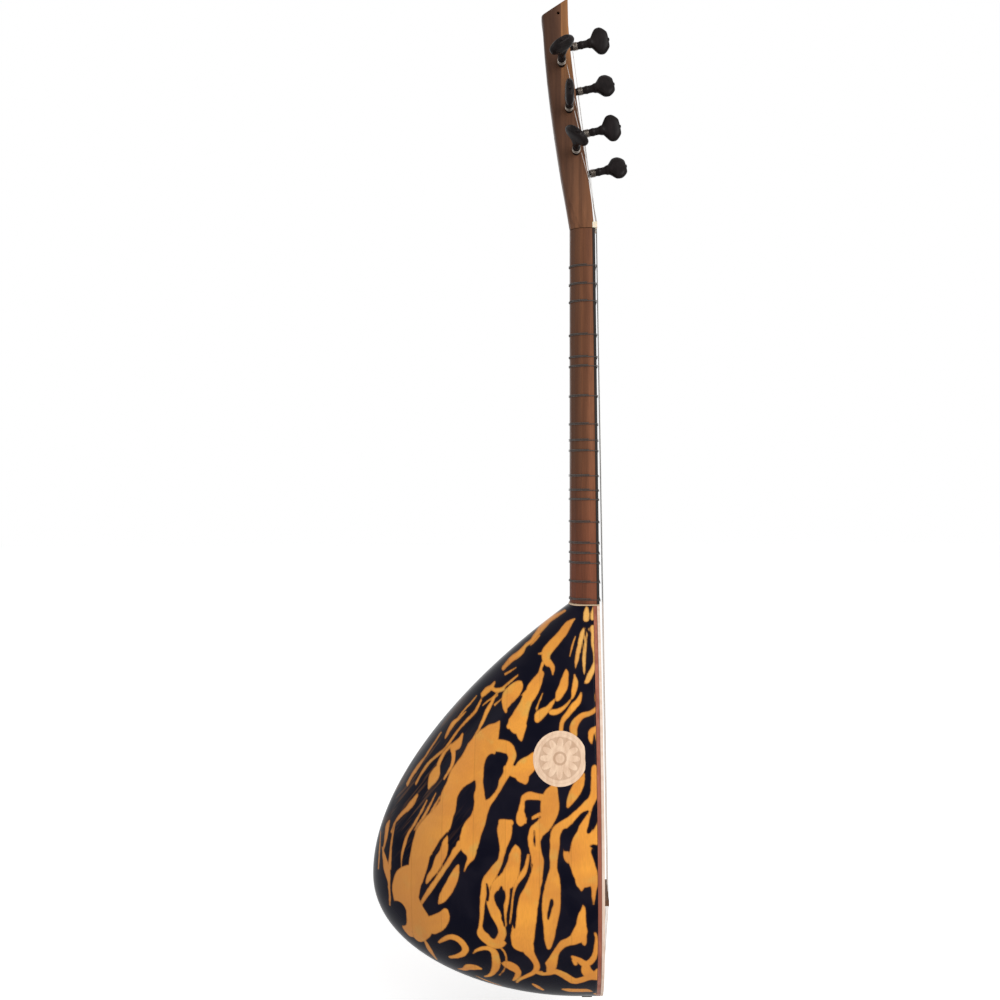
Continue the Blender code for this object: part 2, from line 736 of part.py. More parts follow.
def make_tailpiece(wood):
    """A block bent round the tail, with one hole for each string."""
    half = TAILPIECE_WIDTH / 2
    across = [half * (2 * k / TAILPIECE_STEPS - 1) for k in range(TAILPIECE_STEPS + 1)]
    inner = [(y, tail_z(y, TAILPIECE_CLEARANCE)) for y in across]
    outer = [(y, tail_z(y, GLUE_GAP + TAILPIECE_THICKNESS)) for y in reversed(across)]
    low = -TAILPIECE_DROP - TAILPIECE_HEIGHT
    block = flat_mesh("tailpiece", [inner + outer], low, -TAILPIECE_DROP, ACROSS)
    tailpiece = add_piece("tailpiece", block, wood)
    for number, y in enumerate(TAIL_PLACES, 1):
        name = f"anchor_hole_{number}"
        bore = cone_mesh(name, ANCHOR_HOLE / 2, ANCHOR_HOLE / 2, 3 * TAILPIECE_HEIGHT, ANCHOR_SIDES)
        place = (-TAILPIECE_DROP - TAILPIECE_HEIGHT / 2, y, anchor_z(y))
        combine(tailpiece, add_cutter(name, bore, pointing(place, (1, 0, 0), (0, 1, 0))))


def anchor_z(y):
    return tail_z(y, GLUE_GAP + TAILPIECE_THICKNESS / 2)


def peg_rings(depth, turn):
    """The peg from its tail to the pip on its knob: round shaft and beads, then a flat oval knob."""
    knob = PEG_LENGTH - KNOB_LENGTH
    bead = peg_radius(0) * PEG_BEAD
    stages = [(z, peg_radius(z), peg_radius(z)) for z in (PEG_RECESS - depth, 0.0, knob * PEG_PLAIN_SHARE)]
    stages += [(knob * along, bead * size, bead * size) for along, size in PEG_BEADS]
    for along, width, thickness in KNOB_FORM:
        stages.append((knob + KNOB_LENGTH * along, KNOB_WIDTH / 2 * width, KNOB_THICKNESS / 2 * thickness))
    stages += [(z, PIP_RADIUS, PIP_RADIUS) for z in (PEG_LENGTH, PEG_LENGTH + PIP_HEIGHT)]
    spin = Matrix.Rotation(math.radians(turn), 4, "Z")
    rings = []
    for distance, half_width, half_thickness in stages:
        ring = []
        for k in range(PEG_SIDES):
            angle = 2 * math.pi * k / PEG_SIDES
            point = Vector((half_thickness * math.cos(angle), half_width * math.sin(angle), distance))
            ring.append(spin @ point)
        rings.append(ring)
    return rings


def winding_radius():
    """Radius of the corners of the turns round a peg."""
    shaft = peg_radius(WINDING_START + WINDING_TURNS * WINDING_PITCH)
    return (shaft + GLUE_GAP + WINDING_DIAMETER / 2) / math.cos(math.pi / WINDING_STEPS)


def leaving_distance():
    """How far along its way a free string starts, so that the turns clear it when the peg is turned."""
    radius = winding_radius()
    clear = radius + WINDING_DIAMETER / 2 + STRING_DIAMETER / 2 + GLUE_GAP
    return math.sqrt(clear**2 - radius**2)


def winding_points(frame, exit_direction):
    """The turns on a peg, starting where the string comes up from the nut."""
    axis = frame.col[2].to_3d()
    outwards = (exit_direction - axis * exit_direction.dot(axis)).normalized()
    upwards = axis.cross(outwards)
    if upwards.z < 0:
        upwards = -upwards
    radius = winding_radius()
    points = []
    for k in range(WINDING_STEPS * WINDING_TURNS + 1):
        angle = 2 * math.pi * k / WINDING_STEPS
        along = WINDING_START + WINDING_PITCH * k / WINDING_STEPS
        round_part = outwards * math.cos(angle) + upwards * math.sin(angle)
        points.append(frame.translation + axis * along + round_part * radius)
    return points


def string_points(y_nut, y_bridge, y_tail, start, sideways):
    """One string from its peg over nut, bridge and saddle into the tailpiece."""
    rise = STRING_DIAMETER
    nut_back = Vector((STRING_AT_NUT, y_nut, NUT_THICKNESS + rise))
    points = []
    if sideways:
        edge_z = start.z * EDGE_SHARE
        clear = STRING_DIAMETER / 2 + GLUE_GAP
        points.append(Vector((head_face(edge_z) + clear, -HALF_HEAD - clear, edge_z)))
    points += [nut_back, Vector((STRING_AT_NUT, y_nut, -rise))]
    first = (points[0] - start).normalized()
    points.insert(0, start + first * leaving_distance())
    level = BRIDGE_THICKNESS
    points += [Vector((STRING_AT_BRIDGE, y_bridge, -SCALE_LENGTH + level)),
               Vector((STRING_AT_BRIDGE, y_bridge, -SCALE_LENGTH - level))]
    anchor = anchor_z(y_tail)
    points += [Vector((STRING_AT_SADDLE, y_tail, BOWL_TAIL + SADDLE_THICKNESS + rise)),
               Vector((STRING_AT_SADDLE, y_tail, min(BOWL_TAIL - 2 * rise, anchor + rise))),
               Vector((-SOUNDBOARD_THICKNESS, y_tail, anchor)),
               Vector((-TAILPIECE_DROP - TAILPIECE_HEIGHT - ANCHOR_HOLE, y_tail, anchor))]
    return points


def make_pegs_and_strings(peg_wood, steel):
    gaps = []
    for number, (name, frame, turn, depth, exit_direction) in enumerate(peg_list(), 1):
        add_piece(name, loft_mesh(name, peg_rings(depth, turn)), peg_wood, frame)
        turns = winding_points(frame, exit_direction)
        gaps.append(least_gap(turns, WINDING_DIAMETER, WINDING_STEPS))
        winding = f"winding_{number}"
        add_piece(winding, tube_mesh(winding, turns, WINDING_DIAMETER, 0), steel)
        places = (NUT_PLACES[number - 1], BRIDGE_PLACES[number - 1], TAIL_PLACES[number - 1])
        route = string_points(*places, turns[0], name.startswith("side"))
        string = f"string_{number}"
        add_piece(string, tube_mesh(string, route, STRING_DIAMETER, 1), steel)
    print(f"least gap between the turns on a peg: {min(gaps) * 1000:.2f} mm")


def fret_points(z):
    """One line wound round neck and fingerboard, from the side near the viewer and back to it."""
    grow = GLUE_GAP + FRET_LINE / 2
    side = NECK_SIDE + BOARD_THICKNESS
    section = wood_section(neck_face(z), neck_back(z), neck_half_width(z), side, ROUND_BACK, grow)
    corners = [Vector((x, y, 0)) for x, y in section]
    count = len(corners)
    span = FRET_TURNS * FRET_PITCH
    lengths = [0.0]
    for k in range(FRET_TURNS * count):
        lengths.append(lengths[-1] + (corners[(k + 1) % count] - corners[k % count]).length)
    points = []
    for k, run in enumerate(lengths):
        lift = span * (run / lengths[-1] - 0.5)
        points.append(corners[k % count] + Vector((0, 0, z + lift)))
    return points[:-1], count


def make_frets(nylon):
    gaps = []
    for number, semitones in enumerate(FRET_STEPS, 1):
        points, count = fret_points(-fret_place(semitones))
        gaps.append(least_gap(points, FRET_LINE, count))
        name = f"fret_{number:02d}"
        add_piece(name, tube_mesh(name, points, FRET_LINE, 1), nylon)
    print(f"least gap between the turns of a fret: {min(gaps) * 1000:.2f} mm")


def make_medallion(wood):
    """A thin disc that follows the bowl: a bored plug between two skins just outside it."""
    depth = reach(SIDE, MEDALLION_PLACE)
    angle = math.pi - math.asin((MEDALLION_BELOW_FACE - STRAIGHT_WALL) / (depth - STRAIGHT_WALL))
    place = bowl_point(MEDALLION_PLACE, angle)
    normal = bowl_normal(MEDALLION_PLACE, angle)
    radius = MEDALLION_DIAMETER / 2
    plug = cone_mesh("medallion", radius, radius, radius, MEDALLION_SIDES)
    medallion = add_piece("medallion", plug, wood, pointing(place, normal, (0, 0, 1)))
    near = [along for along in bowl_stations() if 0 < along < MEDALLION_PLACE + MEDALLION_DIAMETER]
    for name, offset, operation in (
        ("medallion_face", GLUE_GAP + MEDALLION_THICKNESS, "INTERSECT"),
        ("medallion_bed", GLUE_GAP, "DIFFERENCE"),
    ):
        skin = loft_mesh(name, [bowl_ring(along, -offset, 0.0) for along in near])
        combine(medallion, add_cutter(name, skin), operation)


clear_scene()
PIECES = new_collection("baglama")
CUTTERS = new_collection("cutters", hidden=True)
HANGER = bpy.data.objects.new("hanger", None)
PIECES.objects.link(HANGER)
HANGER.location = (-HOLE_X, 0, -HOLE_Z)
bpy.context.view_layer.update()

MARBLED_WOOD = new_material("marbled_bowl_wood", (0.83, 0.34, 0.06), 0.12)
SPRUCE = new_material("spruce", (0.83, 0.64, 0.42), 0.45)
RED_WOOD = new_material("red_rim_wood", (0.38, 0.11, 0.06), 0.3)
PALE_VENEER = new_material("pale_veneer", (0.75, 0.6, 0.42), 0.4)
NECK_WOOD = new_material("mahogany", (0.20, 0.08, 0.04), 0.35)
HEAD_WOOD = new_material("walnut", (0.14, 0.06, 0.03), 0.4)
EBONY = new_material("ebony", (0.02, 0.018, 0.016), 0.35)
BONE = new_material("bone", (0.78, 0.70, 0.55), 0.4)
DARK_MAPLE = new_material("bridge_wood", (0.10, 0.05, 0.03), 0.45)
DISC_WOOD = new_material("pale_disc_wood", (0.76, 0.55, 0.36), 0.5)
STEEL = new_material("string_steel", (0.75, 0.74, 0.72), 0.3, 1.0)
NYLON = new_material("fret_nylon", (0.05, 0.045, 0.04), 0.4)

make_bowl(MARBLED_WOOD)
make_soundboard(SPRUCE, RED_WOOD)
make_neck(NECK_WOOD, EBONY, PALE_VENEER)
make_head(HEAD_WOOD)
make_bars(BONE, DARK_MAPLE)
make_tailpiece(EBONY)
make_pegs_and_strings(EBONY, STEEL)
make_frets(NYLON)
make_medallion(DISC_WOOD)
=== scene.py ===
# %% [markdown]
# # A short-neck baglama
#
# The baglama is a lute with a deep carved bowl, a long thin neck with tied frets, and friction pegs in the
# face and in the side of its head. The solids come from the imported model. This lesson dresses them: it
# gives each piece its finish, and rebuilds the few pieces whose surface needs more points than the solid
# has.

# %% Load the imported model
import math

import bmesh
import bpy
import numpy as np
from mathutils import Matrix, Vector


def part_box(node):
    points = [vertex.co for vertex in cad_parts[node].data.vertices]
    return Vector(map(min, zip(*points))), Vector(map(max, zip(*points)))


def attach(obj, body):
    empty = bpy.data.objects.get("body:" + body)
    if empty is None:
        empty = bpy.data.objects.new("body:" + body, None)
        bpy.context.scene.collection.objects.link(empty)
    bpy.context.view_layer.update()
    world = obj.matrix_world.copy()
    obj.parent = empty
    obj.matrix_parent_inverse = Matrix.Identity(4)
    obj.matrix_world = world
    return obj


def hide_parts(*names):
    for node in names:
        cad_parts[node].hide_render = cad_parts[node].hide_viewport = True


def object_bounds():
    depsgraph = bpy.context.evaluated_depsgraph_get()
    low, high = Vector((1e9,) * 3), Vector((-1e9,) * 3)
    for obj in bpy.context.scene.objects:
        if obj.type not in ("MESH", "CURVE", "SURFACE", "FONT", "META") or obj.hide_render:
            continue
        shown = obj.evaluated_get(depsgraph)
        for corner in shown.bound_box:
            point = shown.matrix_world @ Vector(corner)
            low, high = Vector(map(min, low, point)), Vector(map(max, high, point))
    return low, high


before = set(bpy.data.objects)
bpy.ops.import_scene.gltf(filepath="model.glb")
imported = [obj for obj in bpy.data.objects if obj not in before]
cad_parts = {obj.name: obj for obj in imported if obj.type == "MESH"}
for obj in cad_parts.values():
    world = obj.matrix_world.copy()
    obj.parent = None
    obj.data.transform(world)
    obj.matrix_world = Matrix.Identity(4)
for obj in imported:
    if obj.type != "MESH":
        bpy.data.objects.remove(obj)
CAD_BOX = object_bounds()
SCENE = bpy.context.scene
MM = 0.001
BOARD_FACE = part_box("soundboard")[1].x
BOWL_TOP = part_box("bowl")[1].z
JOINT_GAP = 0.0003
NUT_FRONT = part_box("nut")[0].z - JOINT_GAP
print("box of the solids, mm:", [round((high - low) / MM, 1) for low, high in zip(*CAD_BOX)])

# %% [markdown]
# ## Camera, light and floor
#
# The photograph was taken from the side, about a metre away, at the height of the middle of the neck. A
# short distance like that makes near things larger, so the camera stands at the real distance instead of
# using a long lens. The background is plain white, so the world and the floor are white to the camera and
# dimmer as light.

# %% Camera
VIEW_DISTANCE = 1.06
SENSOR = 36.0
MM_PER_PIXEL = 1.005
IMAGE_SIZE = 1000
EYE_PIXEL = (556.0, 470.0)
EYE_PLACE = Vector((BOARD_FACE - 0.0426, -VIEW_DISTANCE, NUT_FRONT - 0.2403))

camera_data = bpy.data.cameras.new("side_camera")
camera_data.sensor_width = SENSOR
camera_data.lens = SENSOR * VIEW_DISTANCE / (MM_PER_PIXEL * MM * IMAGE_SIZE)
camera_data.shift_x = (IMAGE_SIZE / 2 - EYE_PIXEL[0]) / IMAGE_SIZE
camera_data.shift_y = (EYE_PIXEL[1] - IMAGE_SIZE / 2) / IMAGE_SIZE
camera_data.clip_end = 50
camera = bpy.data.objects.new("side_camera", camera_data)
SCENE.collection.objects.link(camera)
LEAN = math.radians(-0.22)
LEVEL_VIEW = Matrix.Rotation(math.pi / 2, 4, "X")
camera.matrix_world = Matrix.Translation(EYE_PLACE) @ LEVEL_VIEW @ Matrix.Rotation(LEAN, 4, "Z")
SCENE.camera = camera
SCENE.view_settings.view_transform = "Standard"
print("lens, mm:", round(camera_data.lens, 2))

# %% [markdown]
# A node helper keeps the materials short: it makes a shader node, sets its values and joins its inputs.

# %% Node helper
def add_node(tree, kind, inputs=(), **settings):
    node = tree.nodes.new("ShaderNode" + kind)
    for name, value in settings.items():
        setattr(node, name, value)
    for name, value in dict(inputs).items():
        if isinstance(value, bpy.types.NodeSocket):
            tree.links.new(value, node.inputs[name])
        else:
            node.inputs[name].default_value = value
    return node


def blank_material(name):
    material = bpy.data.materials.new(name)
    material.use_nodes = True
    return material, material.node_tree, material.node_tree.nodes["Principled BSDF"]


def mixed(tree, share, first, second, blend_type="MIX"):
    """The colour between two colours."""
    node = add_node(tree, "Mix", {0: share, 6: first, 7: second}, data_type="RGBA", blend_type=blend_type)
    return node.outputs[2]


def ramped(tree, value, low, high, to_low=0.0, to_high=1.0):
    """A value stretched from one range to another, with soft ends."""
    node = add_node(tree, "MapRange", {0: value, 1: low, 2: high, 3: to_low, 4: to_high},
                    interpolation_type="SMOOTHSTEP")
    return node.outputs[0]


def calculated(tree, operation, first, second=0.0):
    return add_node(tree, "Math", {0: first, 1: second}, operation=operation).outputs[0]

# %% World and lamps
LIGHT_SHARE = 0.62
world = bpy.data.worlds.new("white_studio")
world.use_nodes = True
SCENE.world = world
air = world.node_tree
path = add_node(air, "LightPath")
mirrored = calculated(air, "MAXIMUM", path.outputs["Is Glossy Ray"], path.outputs["Is Transmission Ray"])
seen = calculated(air, "MAXIMUM", path.outputs["Is Camera Ray"], mirrored)
strength = add_node(air, "MapRange", {0: seen, 3: LIGHT_SHARE, 4: 1.0}).outputs[0]
air.links.new(strength, air.nodes["Background"].inputs["Strength"])
air.nodes["Background"].inputs["Color"].default_value = (1, 1, 1, 1)


def add_lamp(name, place, target, width, height, power):
    data = bpy.data.lights.new(name, "AREA")
    data.shape = "RECTANGLE"
    data.size = width
    data.size_y = height
    data.energy = power
    lamp = bpy.data.objects.new(name, data)
    SCENE.collection.objects.link(lamp)
    lamp.location = place
    lamp.rotation_euler = (Vector(target) - Vector(place)).to_track_quat("-Z", "Y").to_euler()
    return lamp


MIDDLE = (0.0, 0.0, -0.5)
add_lamp("front_right_lamp", (1.5, -2.0, 0.6), MIDDLE, 1.4, 1.8, 42)
add_lamp("left_lamp", (-2.2, -0.6, 0.2), MIDDLE, 1.0, 1.8, 9)

# %% Floor
FLOOR_DROP = 0.05
FLOOR_SIZE = 14.0
FLOOR_GLOW = 0.45
floor_mesh = bpy.data.meshes.new("floor")
edge = FLOOR_SIZE / 2
corners = [(-edge, -edge, 0), (edge, -edge, 0), (edge, edge, 0), (-edge, edge, 0)]
floor_mesh.from_pydata(corners, [], [(0, 1, 2, 3)])
floor = bpy.data.objects.new("floor", floor_mesh)
SCENE.collection.objects.link(floor)
floor.location.z = CAD_BOX[0][2] - FLOOR_DROP
paper, tree, shader = blank_material("white_paper")
shader.inputs["Roughness"].default_value = 0.9
shader.inputs["Specular IOR Level"].default_value = 0.1
fibre = add_node(tree, "TexNoise", {"Scale": 60.0, "Detail": 3.0})
white = mixed(tree, fibre.outputs["Fac"], (0.86, 0.86, 0.86, 1), (0.9, 0.9, 0.9, 1))
tree.links.new(white, shader.inputs["Base Color"])
path = add_node(tree, "LightPath")
glow = add_node(tree, "Emission", {"Color": (1, 1, 1, 1), "Strength": FLOOR_GLOW})
both = add_node(tree, "AddShader", {0: shader.outputs[0], 1: glow.outputs[0]})
seen = path.outputs["Is Camera Ray"]
to_camera = add_node(tree, "MixShader", {0: seen, 1: shader.outputs[0], 2: both.outputs[0]})
tree.links.new(to_camera.outputs[0], tree.nodes["Material Output"].inputs["Surface"])
floor_mesh.materials.append(paper)

# %% [markdown]
# ## Shared effects
#
# Every wooden piece here has fibres that run one way, pores that run with them, and a hand-rubbed or
# sprayed finish that is never perfectly even. Both effects are node groups, so each wood only sets its own
# numbers. The fibre group squeezes the coordinates along the grain: an even noise then becomes long
# streaks.

# %% Group: fibres
def new_group(name, inputs, outputs):
    group = bpy.data.node_groups.new(name, "ShaderNodeTree")
    for label, kind, value in inputs:
        socket = group.interface.new_socket(label, in_out="INPUT", socket_type=kind)
        socket.default_value = value
    for label, kind in outputs:
        group.interface.new_socket(label, in_out="OUTPUT", socket_type=kind)
    return group, group.nodes.new("NodeGroupInput"), group.nodes.new("NodeGroupOutput")


FIBRES, given, result = new_group(
    "wood_fibres",
    [("Squeeze", "NodeSocketVector", (1, 1, 0.05)), ("Bands", "NodeSocketFloat", 90.0),
     ("Fibres", "NodeSocketFloat", 900.0), ("Waviness", "NodeSocketFloat", 0.004)],
    [("Band", "NodeSocketFloat"), ("Fibre", "NodeSocketFloat"), ("Pore", "NodeSocketFloat")],
)
place = add_node(FIBRES, "TexCoord")
drift = add_node(FIBRES, "TexNoise", {"Vector": place.outputs["Object"], "Scale": 14.0, "Detail": 2.0})
centred = add_node(FIBRES, "VectorMath", {0: drift.outputs["Color"], 1: (0.5, 0.5, 0.5)},
                   operation="SUBTRACT")
moved = add_node(FIBRES, "VectorMath", {0: centred.outputs[0], "Scale": given.outputs["Waviness"]},
                 operation="SCALE")
bent = add_node(FIBRES, "VectorMath", {0: place.outputs["Object"], 1: moved.outputs[0]}, operation="ADD")
squeezed = add_node(FIBRES, "VectorMath", {0: bent.outputs[0], 1: given.outputs["Squeeze"]},
                    operation="MULTIPLY")
band = add_node(FIBRES, "TexNoise", {"Vector": squeezed.outputs[0], "Scale": given.outputs["Bands"],
                                     "Detail": 3.0, "Roughness": 0.55})
fine = add_node(FIBRES, "TexNoise", {"Vector": squeezed.outputs[0], "Scale": given.outputs["Fibres"],
                                     "Detail": 4.0, "Roughness": 0.65})
FIBRES.links.new(ramped(FIBRES, band.outputs["Fac"], 0.3, 0.7), result.inputs["Band"])
FIBRES.links.new(ramped(FIBRES, fine.outputs["Fac"], 0.28, 0.72), result.inputs["Fibre"])
FIBRES.links.new(ramped(FIBRES, fine.outputs["Fac"], 0.66, 0.74), result.inputs["Pore"])

# %% [markdown]
# The second group is the skin of the finish: smudges and fine dust that change how sharply light reflects,
# and the slight orange peel of a sprayed lacquer as a height for the bump.

# %% Group: handling
HANDLING, given, result = new_group(
    "handling",
    [("Roughness", "NodeSocketFloat", 0.3), ("Smudges", "NodeSocketFloat", 0.1),
     ("Ripple", "NodeSocketFloat", 120.0)],
    [("Roughness", "NodeSocketFloat"), ("Height", "NodeSocketFloat")],
)
place = add_node(HANDLING, "TexCoord")
smudge = add_node(HANDLING, "TexNoise", {"Vector": place.outputs["Object"], "Scale": 22.0, "Detail": 5.0,
                                         "Roughness": 0.7, "Distortion": 0.6})
patches = ramped(HANDLING, smudge.outputs["Fac"], 0.35, 0.7)
spread = calculated(HANDLING, "MULTIPLY", patches, given.outputs["Smudges"])
rougher = calculated(HANDLING, "ADD", spread, given.outputs["Roughness"])
HANDLING.links.new(rougher, result.inputs["Roughness"])
ripple = add_node(HANDLING, "TexNoise", {"Vector": place.outputs["Object"], "Scale": given.outputs["Ripple"],
                                         "Detail": 2.0})
HANDLING.links.new(ripple.outputs["Fac"], result.inputs["Height"])


def use_group(tree, group, inputs=()):
    node = add_node(tree, "Group", node_tree=group)
    for name, value in dict(inputs).items():
        node.inputs[name].default_value = value
    return node


def finish_surface(tree, shader, roughness, smudges, ripple, height=None, depth=0.00003):
    """Roughness and bump of a lacquered or rubbed surface."""
    skin = use_group(tree, HANDLING, {"Roughness": roughness, "Smudges": smudges, "Ripple": ripple})
    tree.links.new(skin.outputs["Roughness"], shader.inputs["Roughness"])
    relief = skin.outputs["Height"]
    if height is not None:
        relief = calculated(tree, "ADD", relief, height)
    bump = add_node(tree, "Bump", {"Height": relief, "Distance": depth, "Strength": 0.6})
    tree.links.new(bump.outputs["Normal"], shader.inputs["Normal"])

# %% [markdown]
# A plain wood is two tones of fibres, darker in its pores. The function below makes one from a list of
# numbers, which is how a finish schedule in a workshop reads: the wood, its tones, its grain and its
# polish.

# %% Plain woods
def make_wood(name, light, dark, pore=0.5, squeeze=(1, 1, 0.05), bands=90.0, fibres=900.0, roughness=0.35,
              smudges=0.12, ripple=150.0, shine=0.2):
    material, tree, shader = blank_material(name)
    shader.inputs["Specular IOR Level"].default_value = shine
    grain = use_group(tree, FIBRES, {"Squeeze": squeeze, "Bands": bands, "Fibres": fibres})
    tone = mixed(tree, grain.outputs["Band"], (*dark, 1), (*light, 1))
    soft = mixed(tree, calculated(tree, "MULTIPLY", grain.outputs["Fibre"], 0.35), tone, (*dark, 1))
    deep = tuple(part * (1 - pore) for part in dark)
    colour = mixed(tree, calculated(tree, "MULTIPLY", grain.outputs["Pore"], pore), soft, (*deep, 1))
    tree.links.new(colour, shader.inputs["Base Color"])
    pores = calculated(tree, "MULTIPLY", grain.outputs["Pore"], -1.0)
    finish_surface(tree, shader, roughness, smudges, ripple, pores)
    return material


SPRUCE = make_wood("spruce", (0.80, 0.63, 0.52), (0.68, 0.49, 0.37), pore=0.25, bands=420.0, fibres=1500.0,
                   squeeze=(0.2, 1, 0.02), roughness=0.38)
RIM_WOOD = make_wood("red_rim_wood", (0.42, 0.15, 0.09), (0.25, 0.07, 0.04), pore=0.3, bands=160.0,
                     roughness=0.24)
VENEER = make_wood("pale_veneer", (0.72, 0.56, 0.40), (0.56, 0.40, 0.26), pore=0.2, squeeze=(1, 0.1, 1))
EBONY = make_wood("fingerboard_ebony", (0.030, 0.024, 0.021), (0.012, 0.010, 0.009), pore=0.6, roughness=0.33)
TAIL_EBONY = make_wood("tailpiece_ebony", (0.032, 0.026, 0.022), (0.012, 0.010, 0.009), squeeze=(1, 0.08, 1))
BRIDGE_WOOD = make_wood("bridge_wood", (0.15, 0.075, 0.04), (0.06, 0.03, 0.018), squeeze=(1, 0.06, 1),
                        roughness=0.45)
print("plain woods:", len([m for m in bpy.data.materials if "wood" in m.name or "ebony" in m.name]))


def dress(node, material):
    """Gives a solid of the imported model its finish."""
    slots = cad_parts[node].material_slots
    for slot in slots:
        slot.material = material


for name in ("soundboard", "brace_upper", "brace_lower"):
    dress(name, SPRUCE)
dress("rim_strip", RIM_WOOD)
dress("joint_veneer", VENEER)
dress("fingerboard", EBONY)
dress("tailpiece", TAIL_EBONY)
dress("bridge", BRIDGE_WOOD)

# %% [markdown]
# ## Neck and head
#
# The neck is a red-brown wood, darker towards its rounded back, and redder towards the bowl.
# The head is glued up of two woods: walnut at the back and a honey-coloured piece in front, with a straight
# glue line that shows near the tip. Both are gradients across the piece, so they are made from the place of
# each point.

# %% Neck finish
def place_in_piece(tree):
    """Depth below the soundboard's plane and distance from the nut, both in metres."""
    place = add_node(tree, "TexCoord")
    split = add_node(tree, "SeparateXYZ", {0: place.outputs["Object"]})
    depth = calculated(tree, "SUBTRACT", BOARD_FACE, split.outputs["X"])
    from_nut = calculated(tree, "SUBTRACT", split.outputs["Z"], NUT_FRONT)
    return depth, from_nut


def grained(tree, colour, squeeze, bands, contrast, pore_colour):
    """Streaks and pores laid over a colour that already varies over the piece."""
    grain = use_group(tree, FIBRES, {"Squeeze": squeeze, "Bands": bands})
    shade = mixed(tree, ramped(tree, grain.outputs["Band"], 0.0, 1.0, contrast, 0.0), colour, pore_colour)
    strength = calculated(tree, "MULTIPLY", grain.outputs["Fibre"], contrast * 0.6)
    fibre = mixed(tree, strength, shade, pore_colour)
    return mixed(tree, calculated(tree, "MULTIPLY", grain.outputs["Pore"], 0.5), fibre, pore_colour), grain


RUBBED_SHINE = 0.12
NECK_WOOD, tree, shader = blank_material("neck_mahogany")
shader.inputs["Specular IOR Level"].default_value = RUBBED_SHINE
depth, from_nut = place_in_piece(tree)
across = mixed(tree, ramped(tree, depth, 0.007, 0.024), (0.240, 0.095, 0.046, 1), (0.105, 0.042, 0.018, 1))
redder = mixed(tree, ramped(tree, from_nut, -0.37, -0.20, 0.55, 0.0), across, (0.21, 0.055, 0.030, 1))
colour, grain = grained(tree, redder, (1, 1, 0.03), 110.0, 0.5, (0.05, 0.018, 0.010, 1))
tree.links.new(colour, shader.inputs["Base Color"])
finish_surface(tree, shader, 0.30, 0.14, 160.0, calculated(tree, "MULTIPLY", grain.outputs["Pore"], -1.0))
dress("neck", NECK_WOOD)

# %% Head finish
GLUE_LINE_DEPTH = 0.0363
HEAD_WOOD, tree, shader = blank_material("head_walnut")
shader.inputs["Specular IOR Level"].default_value = RUBBED_SHINE
depth, from_nut = place_in_piece(tree)
upper = ramped(tree, from_nut, 0.085, 0.19)
front = ramped(tree, depth, GLUE_LINE_DEPTH + 0.0004, GLUE_LINE_DEPTH - 0.0004)
dark = mixed(tree, ramped(tree, depth, 0.050, 0.034), (0.070, 0.032, 0.018, 1), (0.128, 0.057, 0.031, 1))
honey = mixed(tree, upper, (0.210, 0.088, 0.041, 1), (0.42, 0.185, 0.068, 1))
leaning_depth = calculated(tree, "ADD", depth, calculated(tree, "MULTIPLY", from_nut, 0.16))
lower_front = ramped(tree, leaning_depth, 0.042, 0.014)
soft_front = mixed(tree, lower_front, dark, honey)
sharp_front = mixed(tree, front, dark, honey)
both = mixed(tree, upper, soft_front, sharp_front)
colour, grain = grained(tree, both, (1, 1, 0.035), 130.0, 0.45, (0.03, 0.013, 0.008, 1))
line = calculated(tree, "ABSOLUTE", calculated(tree, "SUBTRACT", depth, GLUE_LINE_DEPTH))
strength = calculated(tree, "MULTIPLY", upper, 0.5)
seam = calculated(tree, "MULTIPLY", ramped(tree, line, 0.0007, 0.0001), strength)
tree.links.new(mixed(tree, seam, colour, (0.05, 0.022, 0.012, 1)), shader.inputs["Base Color"])
finish_surface(tree, shader, 0.36, 0.12, 160.0, calculated(tree, "MULTIPLY", grain.outputs["Pore"], -1.0))
dress("head", HEAD_WOOD)

# %% [markdown]
# ## Bone, steel and nylon
#
# The nut and the tail saddle are bone: cream, with faint cloudy layers and a polish. The strings are drawn
# steel, bright along their length and darker and duller round the pegs. The frets are dark nylon line.

# %% Bone
BONE, tree, shader = blank_material("polished_bone")
cloud = add_node(tree, "TexNoise", {"Scale": 160.0, "Detail": 4.0, "Distortion": 0.8})
layers = ramped(tree, cloud.outputs["Fac"], 0.3, 0.75)
layered = mixed(tree, layers, (0.80, 0.72, 0.57, 1), (0.66, 0.55, 0.38, 1))
tree.links.new(layered, shader.inputs["Base Color"])
shader.inputs["Subsurface Weight"].default_value = 0.15
shader.inputs["Subsurface Scale"].default_value = 0.002
finish_surface(tree, shader, 0.32, 0.15, 700.0)
for name in ("nut", "tail_saddle"):
    dress(name, BONE)

# %% Steel
def make_steel(name, dull, bright, roughness):
    material, tree, shader = blank_material(name)
    shader.inputs["Metallic"].default_value = 1.0
    brushed = use_group(tree, FIBRES, {"Squeeze": (1, 1, 0.02), "Bands": 300.0, "Fibres": 3000.0})
    brushing = mixed(tree, brushed.outputs["Band"], (*dull, 1), (*bright, 1))
    tree.links.new(brushing, shader.inputs["Base Color"])
    finish_surface(tree, shader, roughness, 0.12, 1500.0)
    return material


STEEL = make_steel("string_steel", (0.62, 0.60, 0.57), (0.86, 0.85, 0.83), 0.24)
# Darker and rougher steel for the turns of the strings round the pegs.
DARK_PEG_STEEL = make_steel("dark_peg_steel", (0.26, 0.22, 0.18), (0.38, 0.34, 0.30), 0.34)
for number in range(1, 8):
    dress(f"string_{number}", STEEL)

